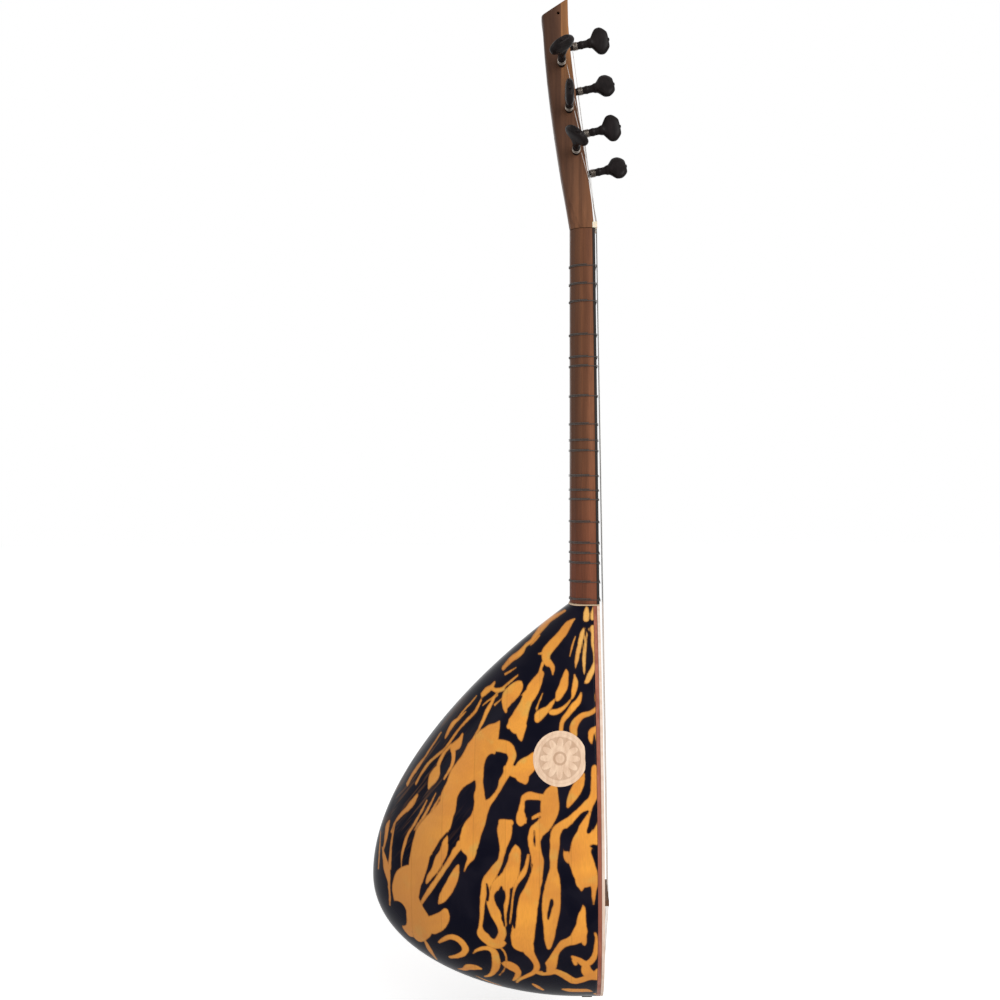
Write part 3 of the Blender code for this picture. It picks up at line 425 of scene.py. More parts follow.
# %% Nylon
NYLON, tree, shader = blank_material("fret_nylon")
worn = add_node(tree, "TexNoise", {"Scale": 420.0, "Detail": 3.0})
tree.links.new(mixed(tree, ramped(tree, worn.outputs["Fac"], 0.35, 0.7), (0.030, 0.026, 0.024, 1),
                     (0.085, 0.070, 0.060, 1)), shader.inputs["Base Color"])
finish_surface(tree, shader, 0.35, 0.15, 900.0)
for number in range(1, 20):
    dress(f"fret_{number:02d}", NYLON)

# %% [markdown]
# ## The bowl's form
#
# The bowl is carved, so its skin is one smooth surface: a pear outline seen from the front, a deep curve
# seen from the side, and between the two a section with short straight walls and a half ellipse. The same
# few handles that draw the solid give a much finer skin here. Its inside, rim and mortise are taken over
# from the solid.

# %% Outlines of the bowl
BOWL_LENGTH = 0.380
BOWL_WIDTH = 0.224
BOWL_DEPTH = BOARD_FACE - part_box("bowl")[0].x
BOWL_WIDEST = 0.255
BOWL_DEEPEST = 0.2665
STRAIGHT_WALL = 0.020
BOWL_RIM_DEPTH = BOARD_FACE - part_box("bowl")[1].x


def bent_line(*handle_sets):
    """Cubic curves end to end, as columns of distance along the bowl and distance from its axis."""
    share = np.linspace(0, 1, 1500)[:, None]
    pieces = []
    for handles in handle_sets:
        a, b, c, d = (np.array(handle) for handle in handles)
        rest = 1 - share
        pieces.append(a * rest**3 + 3 * b * rest**2 * share + 3 * c * rest * share**2 + d * share**3)
    return np.vstack(pieces)


PLAN = bent_line(
    ((0, 0.020), (0.080, 0.020 + 0.74 * 0.080), (BOWL_WIDEST - 0.092, BOWL_WIDTH / 2),
     (BOWL_WIDEST, BOWL_WIDTH / 2)),
    ((BOWL_WIDEST, BOWL_WIDTH / 2), (BOWL_WIDEST + 0.072, BOWL_WIDTH / 2), (BOWL_LENGTH, 0.072),
     (BOWL_LENGTH, 0)),
)
SIDE = bent_line(
    ((0, 0.0305), (0.0763, 0.0305 + 1.40 * 0.0763), (BOWL_DEEPEST - 0.086, BOWL_DEPTH),
     (BOWL_DEEPEST, BOWL_DEPTH)),
    ((BOWL_DEEPEST, BOWL_DEPTH), (BOWL_DEEPEST + 0.0715, BOWL_DEPTH), (BOWL_LENGTH, STRAIGHT_WALL + 0.099),
     (BOWL_LENGTH, STRAIGHT_WALL)),
)


def half_width(along):
    return np.interp(along, PLAN[:, 0], PLAN[:, 1])


def depth_at(along):
    return np.interp(along, SIDE[:, 0], SIDE[:, 1])


def skin_point(along, angle):
    """A point of the skin's round part; the angle runs from +Y round the back to -Y."""
    deep = STRAIGHT_WALL + (depth_at(along) - STRAIGHT_WALL) * np.sin(angle)
    across = half_width(along) * np.cos(angle)
    return np.stack([BOARD_FACE - deep, across, BOWL_TOP - along + 0 * angle], axis=-1)


def skin_normal(along, angle):
    step = 0.0005
    lengthways = skin_point(along - step, angle) - skin_point(along + step, angle)
    around = skin_point(along, angle + step) - skin_point(along, angle - step)
    normal = np.cross(around, lengthways)
    return normal / np.linalg.norm(normal)

# %% Fine grid of the skin
NEAR_SPACING = 0.0013
FAR_SPACING = 0.0026
LIP = 0.002
shoulder_rows = np.arange(0, BOWL_WIDEST, NEAR_SPACING)
tail_steps = int(0.19 / NEAR_SPACING)
tail_rows = BOWL_WIDEST + (BOWL_LENGTH - BOWL_WIDEST) * np.sin(np.linspace(0, math.pi / 2, tail_steps))
rows = np.concatenate([shoulder_rows, tail_rows])

turn = np.linspace(0, math.pi, 4000)
run = np.hypot((BOWL_DEPTH - STRAIGHT_WALL) * np.cos(turn), BOWL_WIDTH / 2 * np.sin(turn))
run = np.concatenate([[0], np.cumsum((run[1:] + run[:-1]) / 2 * np.diff(turn))])
far_angles = np.interp(np.linspace(0, run[-1] / 2, int(run[-1] / 2 / FAR_SPACING)), run, turn)
near_angles = np.interp(np.linspace(run[-1] / 2, run[-1], int(run[-1] / 2 / NEAR_SPACING)), run, turn)
angles = np.concatenate([far_angles, near_angles[1:]])
walls = np.linspace(BOWL_RIM_DEPTH, STRAIGHT_WALL, 9)[:-1]
wide, deep = half_width(rows)[:, None], depth_at(rows)[:, None]
upright = np.repeat(wide, len(walls), 1)
skin_y = np.hstack([wide - LIP, upright, wide * np.cos(angles), -upright, LIP - wide])
wall_depths = np.concatenate([[BOWL_RIM_DEPTH], walls])
down = np.repeat(wall_depths[None], len(rows), 0)
skin_depth = np.hstack([down, STRAIGHT_WALL + (deep - STRAIGHT_WALL) * np.sin(angles), down[:, ::-1]])
skin_y[:, 0] = np.maximum(skin_y[:, 0], 0)
skin_y[:, -1] = np.minimum(skin_y[:, -1], 0)
skin_along = np.repeat(rows[:, None], skin_y.shape[1], 1)
skin = np.stack([BOARD_FACE - skin_depth, skin_y, BOWL_TOP - skin_along], axis=-1)
print("points of the skin:", skin.shape[0], "x", skin.shape[1])

# %% [markdown]
# The sound hole goes through the tail, square to the skin. In a mesh this fine it needs no boolean: the
# faces inside the circle are left out, the points round it are moved on to it, and the edge is drawn
# inwards as a wall.

# %% Sound hole and mesh of the skin
SOUND_HOLE = 0.020
HOLE_FROM_TAIL = 0.012
LINING = 0.0062
keel = math.pi / 2
hole_place = skin_point(np.array(BOWL_LENGTH - HOLE_FROM_TAIL), np.array(keel))
hole_axis = skin_normal(np.array(BOWL_LENGTH - HOLE_FROM_TAIL), np.array(keel))
if hole_axis[2] > 0:
    hole_axis = -hole_axis


def from_hole(points):
    """Distance along the hole's axis, offset from it, and distance from it."""
    reach = points - hole_place
    depth = reach @ hole_axis
    offset = reach - depth[..., None] * hole_axis
    return depth, offset, np.linalg.norm(offset, axis=-1)


count_rows, count_columns = skin.shape[:2]
index = np.arange(count_rows * count_columns).reshape(count_rows, count_columns)
faces = np.stack([index[:-1, :-1], index[1:, :-1], index[1:, 1:], index[:-1, 1:]], axis=-1).reshape(-1, 4)
points = skin.reshape(-1, 3)
depth, offset, radius = from_hole(points)
inside_hole = (radius < SOUND_HOLE / 2) & (np.abs(depth) < SOUND_HOLE)
cut = inside_hole[faces].any(axis=1)
edge_points = np.intersect1d(faces[cut].ravel(), faces[~cut].ravel())
points[edge_points] = (hole_place + depth[edge_points, None] * hole_axis
                       + offset[edge_points] / radius[edge_points, None] * SOUND_HOLE / 2)
faces = faces[~cut]

skin_mesh = bmesh.new()
corners = [skin_mesh.verts.new(point) for point in points]
skin_mesh.verts.ensure_lookup_table()
for face in faces:
    try:
        skin_mesh.faces.new([corners[k] for k in face])
    except ValueError:
        pass
rim_of_hole = {corners[k] for k in edge_points}
ring = [e for e in skin_mesh.edges if e.is_boundary and all(v in rim_of_hole for v in e.verts)]
lining = bmesh.ops.extrude_edge_only(skin_mesh, edges=ring)["geom"]
lining_points = [v for v in lining if isinstance(v, bmesh.types.BMVert)]
bmesh.ops.translate(skin_mesh, verts=lining_points, vec=Vector(-hole_axis * LINING))
loose = [v for v in skin_mesh.verts if not v.link_faces]
bmesh.ops.delete(skin_mesh, geom=loose, context="VERTS")
tail_line = [v for v in skin_mesh.verts if v.co.z < BOWL_TOP - BOWL_LENGTH + 0.00001]
bmesh.ops.remove_doubles(skin_mesh, verts=tail_line, dist=0.00001)
bmesh.ops.recalc_face_normals(skin_mesh, faces=skin_mesh.faces)
print("edges round the sound hole:", len(ring))

# %% [markdown]
# ## The figure of the bowl
#
# The bowl is stained black and orange like marbled paper: long veins run from the neck down the shoulder,
# pools gather behind them and curls turn at the tail. The figure is drawn as strokes of a brush.
# Each stroke is a row of places (along the bowl, depth below the soundboard, half of the stroke's width),
# all in millimetres. Gold strokes lie on the dark ground, and dark strokes are drawn over the gold ones.

# %% Strokes of the figure
GOLD_STROKES = [
    # beside the rim, from the neck down
    [(1.5, 12.8, 1.5), (6, 13.2, 2.9), (11.5, 13.8, 2.8)],
    [(1, 5.5, 1.5), (7, 6.3, 2.8), (11, 7.5, 2)],
    [(19.3, 15.8, .8), (23.7, 17.5, 2.1), (28.1, 18.7, 2.3), (32.4, 19.9, 2.3), (36.8, 21, 2.2),
     (41.1, 22.2, 2.2),
     (46.3, 23.2, 1.9), (49.8, 24, 1.4), (54, 24.8, .6)],
    [(27, 24.5, .6), (35, 27.5, .9), (44, 30, .6)],
    [(20.2, 11.6, .5), (23.7, 12.7, .8), (28.1, 14.2, 1.2), (32.4, 14.7, 1.4), (36.8, 15.4, 1.6),
     (41.1, 15.9, 1.8),
     (46.3, 16.5, 1.9), (51.5, 16.5, 1.6), (56.7, 16.4, 1), (59.3, 16.3, .5)],
    [(18, 8.4, 1), (20.2, 7, 3.2), (23.7, 6.6, 2.7), (28.1, 7.3, 2.1), (32.4, 7.7, 1.9), (36.8, 6.9, 1.9),
     (41.1, 6.1, 1.9), (45.5, 5.6, 2), (49.8, 5.9, 2), (54.1, 7.7, 2.4), (58.4, 9.8, 2.7), (61.9, 11.8, 2.7),
     (65.3, 13.8, 2.3), (67, 15.8, 1)],
    [(68, 4, .8), (74, 4.5, 1.8), (80, 5.2, 2), (83.5, 6, .6)],
    [(60.5, 25.8, .9), (65, 24.9, 2.3), (69.3, 25.3, 2.7), (73.5, 26.3, 2.5), (77.8, 27.4, 1.8),
     (80.8, 28.9, .8)],
    [(55.8, 33.7, .8), (58.6, 33.5, 2.2), (62.9, 34.5, 3.2), (67.3, 35.7, 4), (71.5, 37, 4.1),
     (76, 39.7, 3.8),
     (80, 41.6, 2.8), (81.8, 43, 1.4)],
    [(75.6, 19.6, .8), (79, 20.7, 1.8), (82.4, 22.4, 2.6), (85.8, 25.6, 3), (90, 29.5, 2.9), (94.3, 33, 2.5),
     (98.5, 36.8, 2.2), (102.8, 38.4, 2.1), (107, 38.8, 2.1), (110, 39, 2)],
    [(81.5, 29.8, .7), (85.5, 33.2, 1.2), (89, 37.5, 1.9), (91.3, 42, 2.3), (92.3, 46, 2.6), (92.5, 48.5, 2)],
    [(86, 4.5, 1), (89.5, 6.5, 2), (93, 12, 2.2), (94.5, 18, 2.4), (97, 22, 3), (101, 25.5, 3.6),
     (106, 27.3, 3.7), (112, 26.5, 2.5)],
    [(103, 3.5, 1), (106, 6, 2.5), (109, 10.5, 3), (114, 11.5, 2.2), (118.5, 10.5, .7)],
    [(106, 4, 2), (112, 4.5, 2.5), (119, 4.5, 1.5)],
    # from the neck towards the back
    [(11.5, 24.7, .6), (14.6, 29.1, 2.2), (19.1, 33, 3.6), (24.6, 37.1, 3.9), (29, 41.1, 4),
     (33.4, 45.4, 4.4),
     (37.9, 49.4, 4.5), (42.5, 52.7, 4.4), (47, 53, 4), (50.5, 51, 3.4)],
    [(43, 54, 2), (43.5, 60, .8)],
    [(50, 50, 3), (54, 46.8, 2.4), (60, 46.5, .8)],
    [(51, 56, 1.6), (56, 57.8, 1.2), (61, 58, 2.6)],
    [(60, 57.2, 2.6), (64.4, 59.9, 3.9), (69, 62.4, 5.1), (73.5, 65, 6), (77.1, 66.8, 5.5), (83.2, 71.8, 6),
     (91.9, 75.1, 6.5), (100.6, 78.5, 7.6), (104, 80.5, 8.2)],
    [(103, 84, 3.5), (106.5, 88, 2.2)],
    [(105, 77, 6), (112, 77, 3.6), (115.7, 76.3, 2), (117.7, 75.9, .6)],
    [(69, 77, 1.5), (73, 80, 5), (79, 86, 6.5), (84, 90, 5.5), (90, 91, 3.5), (94.5, 91, 1.2)],
    [(76.4, 56, .5), (81, 58, .8), (86.5, 60.4, .9), (90, 61.5, 1.2)],
    [(81.4, 44.8, .8), (84.7, 47.1, 1.8), (89, 50.8, 2.5), (92.6, 55.3, 3.7), (95.7, 59.3, 4.3),
     (98.6, 61, 3)],
    # stripes along the back of the shoulder
    [(5, 34, .8), (8, 38.7, 1.2), (14, 48.6, 2), (18.5, 53.5, 2.2), (23.2, 58.3, 2.4), (29, 63.2, 1.9),
     (34.5, 67.8, 1.6), (38, 72.6, 1.5), (44, 77.5, 2.3), (48, 82.5, 2.3), (52, 87.5, 2.2),
     (59.8, 95.3, 1.6)],
    [(28, 59.5, .9), (33, 64, 1.1), (37, 68, .8)],
    [(57, 82, .5), (61, 88, .8), (64, 93, .8)],
    [(63, 80, .6), (68, 86, 1.1), (74, 93, 1), (80, 100, .9), (86, 105, .7)],
    [(72, 103, 1), (76, 106, 1.8), (80, 111, 2.4), (84, 115, 2)],
    [(76, 94, 1.6), (78, 101, 2), (77, 106, 1.6)],
    [(82, 100, .7), (87, 108, .8), (92, 114, .7)],
    [(84, 95, .6), (90, 102, .8)],
    [(88, 116, .9), (94, 119, 1.3), (99, 122, 1.4), (106, 129, 1.2), (115, 137, 1), (127, 146, 1),
     (134, 151.5, 1), (141, 159, 1.1), (148, 166.5, 1.2), (158, 173.5, 1), (168, 179, .9)],
    [(84, 103, 1.2), (90, 106, 1.6), (96, 109.5, 1.9), (104, 113, 1.7), (112, 117, 1.2),
     (119.5, 121.5, .9), (125, 126.5, .7)],
    [(118, 133, .8), (122, 134.5, 2), (127, 137.5, 3.5), (131, 142, 3), (136, 141, 2), (143, 141.5, 1.6),
     (150, 145, 1.2), (157, 149.5, 1)],
    [(129, 144, 1.4), (134, 149, 1.4), (140, 153, 1.6), (147, 156, 1.8)],
    [(149, 156, 2), (154, 158, 4), (159, 161, 4.2), (164, 163.5, 2.4), (168, 165, 1)],
    [(100, 131, .5), (106, 137, 1), (112, 143.5, 1.8), (118, 147.5, 1.6), (125, 151, .8)],
    [(86, 121, .5), (93, 127, .7), (100, 133.5, .7), (108, 140, .6)],
    [(122, 156, .6), (131, 162, .8), (140, 168, .8), (150, 174.5, .7), (160, 181, .7)],
    [(146, 172, .8), (154, 178, 1.2), (163, 184, 1.4), (172, 189, 1.2)],
    [(176, 176.5, 1.2), (183, 181, 2.2), (190, 186.5, 2), (197, 193, 1.4), (205, 199, .9), (215, 203, .8)],
    [(178, 166, .6), (186, 170, .9), (194, 174.5, 1.1), (202, 179, 1.1), (211, 184.5, 1.3),
     (220, 187.5, 1.4), (230, 190, 1), (240, 190.5, .6)],
    [(170, 157, .7), (181, 162.5, 1), (191, 168, 1.1), (199, 173.5, .9), (206, 178, .5)],
    [(172, 152.5, .6), (180.5, 157.5, 1), (192, 164, .9), (201, 169.5, .5)],
    [(207, 206, .8), (213, 208.5, 2.2), (219, 209, 2.2), (226, 210, 1.4), (233, 211.5, .8)],
    [(232, 213, .8), (240, 209.5, 2.6), (247, 207, 4), (254, 205, 3), (262, 204, 1.5), (272, 203, 1.2),
     (282, 203.5, 1)],
    [(205, 199, .6), (215, 201, .9), (226, 202.5, 1.2), (237, 203, 1.5), (246, 203.5, 2)],
    [(222, 217, .6), (232, 216.5, .9), (242, 216.5, .9), (252, 217, .7), (262, 218, .6)],
    # the large field and its strands
    [(103, 97, .8), (108, 100, 3.5), (113, 104, 7), (118, 107, 9.5), (123, 110, 12)],
    [(123, 112, 6), (123, 100, 5.4), (123.2, 92, 5.6), (125, 87, 5), (130, 84.3, 4.2), (135, 85.2, 3.3),
     (139.3, 87, 3.2), (144, 89, 3.5)],
    [(142, 89, 3.5), (143.5, 82, 5), (144, 77, 5)],
    [(124, 112, 11), (130, 117, 11), (136, 120.5, 11), (144, 123, 13), (151, 126, 15), (158, 129, 16.5),
     (165, 134, 14), (172, 141, 11), (179, 144.5, 9), (185, 147, 10), (195, 153.5, 11.5),
     (203, 160, 12.5), (210, 164.5, 12.5), (216, 168, 11), (222, 170.5, 9.8), (232, 172.5, 9.5),
     (243, 175.5, 9), (250, 182, 12.5), (257, 185, 14), (266, 186, 14), (276, 182, 14), (284, 173, 11),
     (292, 170, 11), (300, 172, 9), (307, 174, 5.5)],
    [(129.5, 64, 3.2), (135, 66.5, 6.2), (140.5, 73, 8), (145, 75.5, 7), (149, 73, 4.5), (153, 72, 1)],
    [(141, 87, 4), (147, 90, 3.2), (153, 93.5, 3), (161.8, 98.8, 2.8), (166.3, 102.3, 3.2),
     (171.1, 109.5, 6.5),
     (175.5, 113.5, 8.4), (179.8, 114.9, 8.4), (184.2, 116.3, 9), (188.6, 118.1, 9.3), (197.4, 121.4, 9.4),
     (206, 123.5, 9.2), (210.3, 124, 8.2)],
    [(150, 114.5, 3), (156, 114.3, 3.2), (162, 113.8, 3.7), (167.5, 113, 4.3)],
    [(213, 122.5, 6.5), (218.7, 121.8, 3.9), (223, 123.6, 2.2), (227.5, 126.1, 1.2), (233, 128, .5)],
    [(210, 132, 3.5), (217, 137, 2.8), (227, 143, 2.3), (237, 149.5, 2.1), (247, 156, 2.2),
     (256, 162, 2.2), (264, 167, 1.8), (270, 170, 1)],
    [(203, 145, .8), (208, 146, 2.5), (214, 147, 3.6), (220, 148.5, 4), (226, 152, 4.2), (232, 154.5, 3.8),
     (238, 158, 3), (243, 161.5, 2.6), (249, 164.5, 1.2)],
    [(228, 133.5, .8), (232, 135, 2.5), (239, 137.5, 4.3), (246, 140.5, 4.6), (252, 144, 4.6),
     (258, 147.5, 4.3), (263, 150.5, 2.5), (266, 152.5, .8)],
    [(272, 146, 3), (278, 148, 6), (284, 153, 8), (289, 160, 9)],
    [(296, 182, 6), (301, 186, 5), (306, 183, 4)],
    # below and beside the medallion
    [(137, 8, 1), (140, 8.2, 3), (150, 8.3, 3.7), (160, 8.5, 4), (167, 10.5, 5), (171, 15, 5), (175, 20, 4.5),
     (179, 25.5, 4), (183, 31, 3.6), (187, 37, 4.2), (192, 43, 4.5), (199, 45, 4.6), (206, 45, 4.5),
     (213, 45.8, 4), (220, 46, 3.4), (227, 46.3, 3.8), (234, 46.3, 6), (241, 47, 7.2), (250, 48, 8.2),
     (260, 48.5, 8.2), (268, 49, 7.4), (276, 49.5, 6.2), (284, 50, 5.2), (291, 50.5, 4.2),
     (297, 50.8, 2.4), (299, 51, 1.2)],
    [(143.5, 18, .8), (148, 19.8, 2.6), (153, 22.8, 4.6), (158, 25.8, 5), (163, 28.8, 4.2), (168, 31.3, 2.8),
     (171.5, 33, 1.5)],
    [(153, 45.5, 2.5), (158, 46.5, 4.5), (163, 48.5, 7), (169, 49.2, 8.5), (176, 49.8, 8.2),
     (183.6, 51.9, 6.5),
     (188.1, 56, 6.8), (192.7, 61, 6.6), (197, 62.7, 6.5), (201.3, 63.6, 5.8), (209.8, 62.6, 5.4),
     (218.2, 60.6, 5.7), (226.8, 61.3, 6), (235.3, 62.8, 6.6), (240, 65, 7.6), (247, 66.7, 8.5),
     (253, 68.3, 9), (260, 70.3, 9.8), (271, 71.2, 9.7),
     (281, 73.5, 10.6), (289, 74.6, 10.8), (294, 75, 10)],
    [(297, 70, 5.5), (303, 69, 5), (308, 66, 3.5), (315, 62.5, 3), (321, 62, 3), (327, 65, 2.4),
     (331, 70, 2.2), (335, 75, 2), (339, 79, 1.6), (343, 81, 1)],
    [(177, 76, 2.8), (172.6, 75, 2.7), (168.3, 74.2, 2.2), (164.8, 72.5, 2.7), (163, 67.5, 3.4),
     (163.5, 61, 3),
     (164, 56, 3)],
    [(177, 76, 2.9), (181.1, 75.7, 4.4), (184.5, 76, 4.3), (186.5, 76.5, 3)],
    [(184.5, 72, 2.5), (183.6, 68.3, 1.7), (181.3, 63.7, 1.5), (178.6, 58.3, 1.9)],
    [(186.8, 94, 2.6), (186.6, 85, 2.6)],
    [(191.5, 90.3, 6.8), (194.7, 90.7, 7), (198.9, 90.9, 6), (203.2, 91.2, 4.8), (207.4, 91.8, 3.6),
     (211.7, 92.5, 2.9), (215.9, 93.4, 2.5), (220.2, 94.5, 2.6), (224.7, 96.8, 3.4), (229.3, 100, 4.2),
     (233.9, 102.8, 4.5), (239, 106, 4.8), (246, 108.5, 4), (252, 110, 3), (258, 110.8, 2.6),
     (266, 111.5, 2.2),
     (274, 112, 2), (282, 113, 1.8), (288, 112.5, 4), (292, 109.5, 5), (295.5, 106, 4.4), (297.5, 102, 4.8),
     (297.5, 96, 4.6), (296, 91, 1.8)],
    [(205.8, 80.7, .6), (208.3, 80.4, 2.6), (211.2, 80.3, 4.4), (215.6, 81.1, 5.4), (219.9, 81.8, 6),
     (224.3, 82.8, 6.4), (228.9, 84.4, 7.1), (233.4, 86.1, 7.5), (238, 89.5, 7.6), (242, 97.5, 5),
     (247, 101, 3), (252, 103, 3), (258, 103, 4.5),
     (266, 99.5, 5.5), (274, 97, 3.8), (280, 94, 3.8), (286, 93, 3.9), (292, 95, 4), (297, 100, 3)],
    [(242, 88.5, 3), (247, 88, 2.3), (253, 88, 2), (262, 90, 2.2), (270, 90.5, 1.6), (278, 90, 1.6)],
    [(214, 69, 1.5), (222, 70.5, 1.8), (229, 73, 2.4), (235, 77, 2.2), (241, 80.5, 1.6), (248, 82.5, 1.1),
     (256, 83.5, 1), (266, 84.5, 1), (276, 86, .8)],
    [(208, 36, 1.2), (212, 34.5, 3), (216, 34, 2.5), (219, 33, 1)],
    [(172, 12, 2.5), (178, 13, 2.2), (184, 16.5, 3), (190, 18, 5.5), (196, 17.3, 8.4), (200, 18.8, 9.4),
     (204, 20.6, 9.6), (210, 22, 9.6), (217, 21.5, 11), (225, 19, 11), (231, 17, 10), (236, 21, 5.5),
     (240, 21, 3),
     (243.5, 21, 1)],
    [(178, 4.5, 1), (186, 5, 2), (193, 6.5, 4), (199, 8, 5.5), (204, 9.5, 4)],
    [(232, 10, 4), (238, 9.5, 3.4), (244, 10, 2.2), (250, 10.3, 1.8), (256, 10.5, 1)],
    # curls towards the tail
    [(257, 19.5, .8), (261, 19.5, 2.2), (268, 21, 3.8), (276, 21.5, 5), (284, 23, 7), (289, 27, 5.5),
     (291.5, 33, 4.2), (294, 38, 3.8), (299, 42, 3.2), (305, 45, 3.4), (311, 47, 4.5), (317, 49, 5.5),
     (322, 49.5, 4.5)],
    [(287, 19.5, 3), (292, 19, 2.4), (295, 18.5, .8)],
    [(307, 29.5, 1.2), (309, 27, 2.5), (312, 22, 3.2), (315, 18, 3.6), (313.5, 14, 3.4), (309, 10.5, 3),
     (303, 8.5, 2.6), (296, 7.5, 2.4), (289, 7.5, 1.8), (283, 9, 1)],
    [(311, 27.5, 2.5), (315, 26.5, 2)],
    [(321, 3, 2.2), (325, 4.5, 5), (329, 3.5, 2.5)],
    [(318, 17, 4), (323, 16.5, 5), (328, 13, 5.5), (331, 8, 4), (332, 4, 2)],
    [(331, 4, 1.5), (332, 15, 3.4), (334.5, 21, 3.8), (336.5, 27, 4), (333, 32, 4), (329, 36.5, 3.8),
     (324.5, 44.5, 3.4), (326, 50, 3), (327, 57, 3), (326, 63, 2)],
    [(306, 153.5, 1.2), (302, 149.5, 2), (298, 144, 2.6), (297, 138, 3.2), (300, 132, 3.4),
     (306.5, 128, 3.4), (313, 130, 3), (318, 136, 2.6), (322, 143.5, 1.8)],
    [(308, 168, .8), (313, 166, 2.2), (319, 164, 2.6), (326, 161, 2), (333, 158, .8)],
    [(338, 137, .8), (335.5, 131, 2.4), (330.5, 126, 4), (329, 120, 3.6), (329.5, 114.5, 1.6)],
    [(311, 120.5, .8), (307, 117, 1.6), (304, 111, 2.2), (303.5, 105.5, 2.6), (307, 101, 3.4),
     (314, 99.5, 4), (322, 99.5, 4), (330, 102, 3), (337, 106, 2), (341, 111, 1.2)],
    [(319, 93, 1.5), (319.5, 89.5, 4), (321.5, 85, 5), (325, 81, 4), (329, 79, 3), (335, 81, 2.4),
     (340, 84, 1.2)],
    [(301, 95, 1), (305, 91.5, 1), (312, 89.8, 1), (320, 90.5, .9), (328, 93, .8), (335, 97, .8)],
    [(343, 120, .6), (348, 112, 1.2), (352, 104, 1.2), (356, 96, .8)],
    [(343, 66, 1), (347, 62, 2.2), (352, 57, 1.5)],
    [(349, 38, 1.5), (350.5, 32, 3), (351, 24, 3.2), (351, 16, 3), (353, 11, 1)],
    [(358, 8, 1.5), (362, 3, 1.5)],
]
DARK_STROKES = [
    [(136, 103, 5.5), (142, 103, 7.5), (149, 103.5, 7.3), (155.6, 103.8, 6.6), (161, 105.3, 4.6),
     (165.8, 106.7, 2.5), (168.6, 108.2, .6)],
    [(155, 119.5, .8), (160, 122, 3.5), (166, 126, 6), (172, 127.5, 8), (178, 128.5, 8), (184, 131, 6.5),
     (190, 134, 5.5), (197, 136.5, 5), (204, 138.5, 4.6), (210, 140, 4)],
    [(202, 144.5, .8), (208, 149.5, 1.2), (214, 153, 1.4), (222, 157.5, 1.6)],
    [(177, 67, 1), (186, 68, 2.5), (183, 61, .8)],
    [(282, 193.5, 8), (292, 193.5, 8)],
    [(262, 214, 9), (285, 216, 9)],
    [(80, 76, .6), (84, 79, 1.8), (89, 83.5, 2.6), (93, 86.5, 3)],
    [(175.5, 15, .8), (179, 19.5, 2.2), (186, 25.5, 2.6), (191, 29, 3)],
    [(194, 34.5, 4), (200, 34.5, 4.2), (206, 34.5, 3.5)],
    [(165, 5.5, 1), (172, 8, 2), (180, 10, 2.6), (187, 12, 2.4), (192, 14, 1.8), (194, 14.8, .6)],
    [(205, 12.5, .6), (206, 9, 2.2), (210, 6, 4), (217, 4.5, 3), (224, 4.2, 1.6)],
    [(222, 65.5, .6), (230, 68, 1), (237, 72, 1.8), (243, 76, 2.6), (249, 79, 2.4), (256, 80.5, 2),
     (264, 81.5, 1.9), (272, 82, 1.6), (280, 82, .8)],
    [(252.5, 48, 1), (256, 48.2, 1.6), (261, 49.5, 1.3), (266, 50.5, 1.2), (270, 51.2, .6)],
    [(308, 57.5, .8), (313, 56.5, 1.6), (319, 55.5, 2.2), (324, 55, 1.6)],
    [(193, 63.5, .4), (200, 63.5, .6), (206, 63, .3)],
    [(242, 107, .6), (249, 105.8, 1.1), (256, 106.5, 1.2)],
    [(243.5, 93.5, .8), (248, 94, 2.4), (254, 95.5, 4.2), (260, 94.5, 3), (265, 93, 1.5), (273, 91.7, .9),
     (279, 91, .5)],
    [(311, 5, 2), (316.5, 5.5, 2.3)],
]
print("strokes:", len(GOLD_STROKES), "gold,", len(DARK_STROKES), "dark")

# %% [markdown]
# A stroke becomes a smooth line through its places, thick where the brush was pressed. For each point of
# the skin the nearest stroke gives a distance in millimetres, positive inside the gold. The distance is
# kept on the mesh instead of a colour, so that the finish can give the edge of the stain its own softness
# and its brown fringe.

# %% Distance to the strokes
CURVE_STEPS = 4
REACH_MM = 16.0


def smooth_line(places):
    """A line through the places of one stroke, with its half widths."""
    p = np.array(places, float)
    if len(p) < 3:
        return p
    ends = np.vstack([2 * p[0] - p[1], p, 2 * p[-1] - p[-2]])
    line = []
    for a, b, c, d in zip(ends, ends[1:], ends[2:], ends[3:]):
        for t in np.arange(CURVE_STEPS) / CURVE_STEPS:
            line.append(0.5 * (2 * b + (c - a) * t + (2 * a - 5 * b + 4 * c - d) * t**2
                               + (3 * b - a - 3 * c + d) * t**3))
    return np.array(line + [p[-1]])


def inside_strokes(strokes, along, depth):
    """How far each point lies inside the nearest stroke."""
    best = np.full(len(along), -REACH_MM)
    for stroke in strokes:
        line = smooth_line(stroke)
        low, high = line[:, :2].min(axis=0) - REACH_MM, line[:, :2].max(axis=0) + REACH_MM
        near = np.flatnonzero((along > low[0]) & (along < high[0]) & (depth > low[1]) & (depth < high[1]))
        for (a0, d0, r0), (a1, d1, r1) in zip(line, line[1:]):
            run_a, run_d = a1 - a0, d1 - d0
            share = ((along[near] - a0) * run_a + (depth[near] - d0) * run_d) / (run_a**2 + run_d**2)
            share = np.clip(share, 0, 1)
            gap = np.hypot(along[near] - a0 - share * run_a, depth[near] - d0 - share * run_d)
            best[near] = np.maximum(best[near], r0 + share * (r1 - r0) - gap)
    return best


# %% [markdown]
# Only one side shows in the photograph. The other side was marbled in the same bath, so it has the same
# kinds of veins but not the same ones: there the drawing is bent by slow waves that grow from the middle of
# the back.

# %% Figure on the whole skin
BEND_MM = 13.0


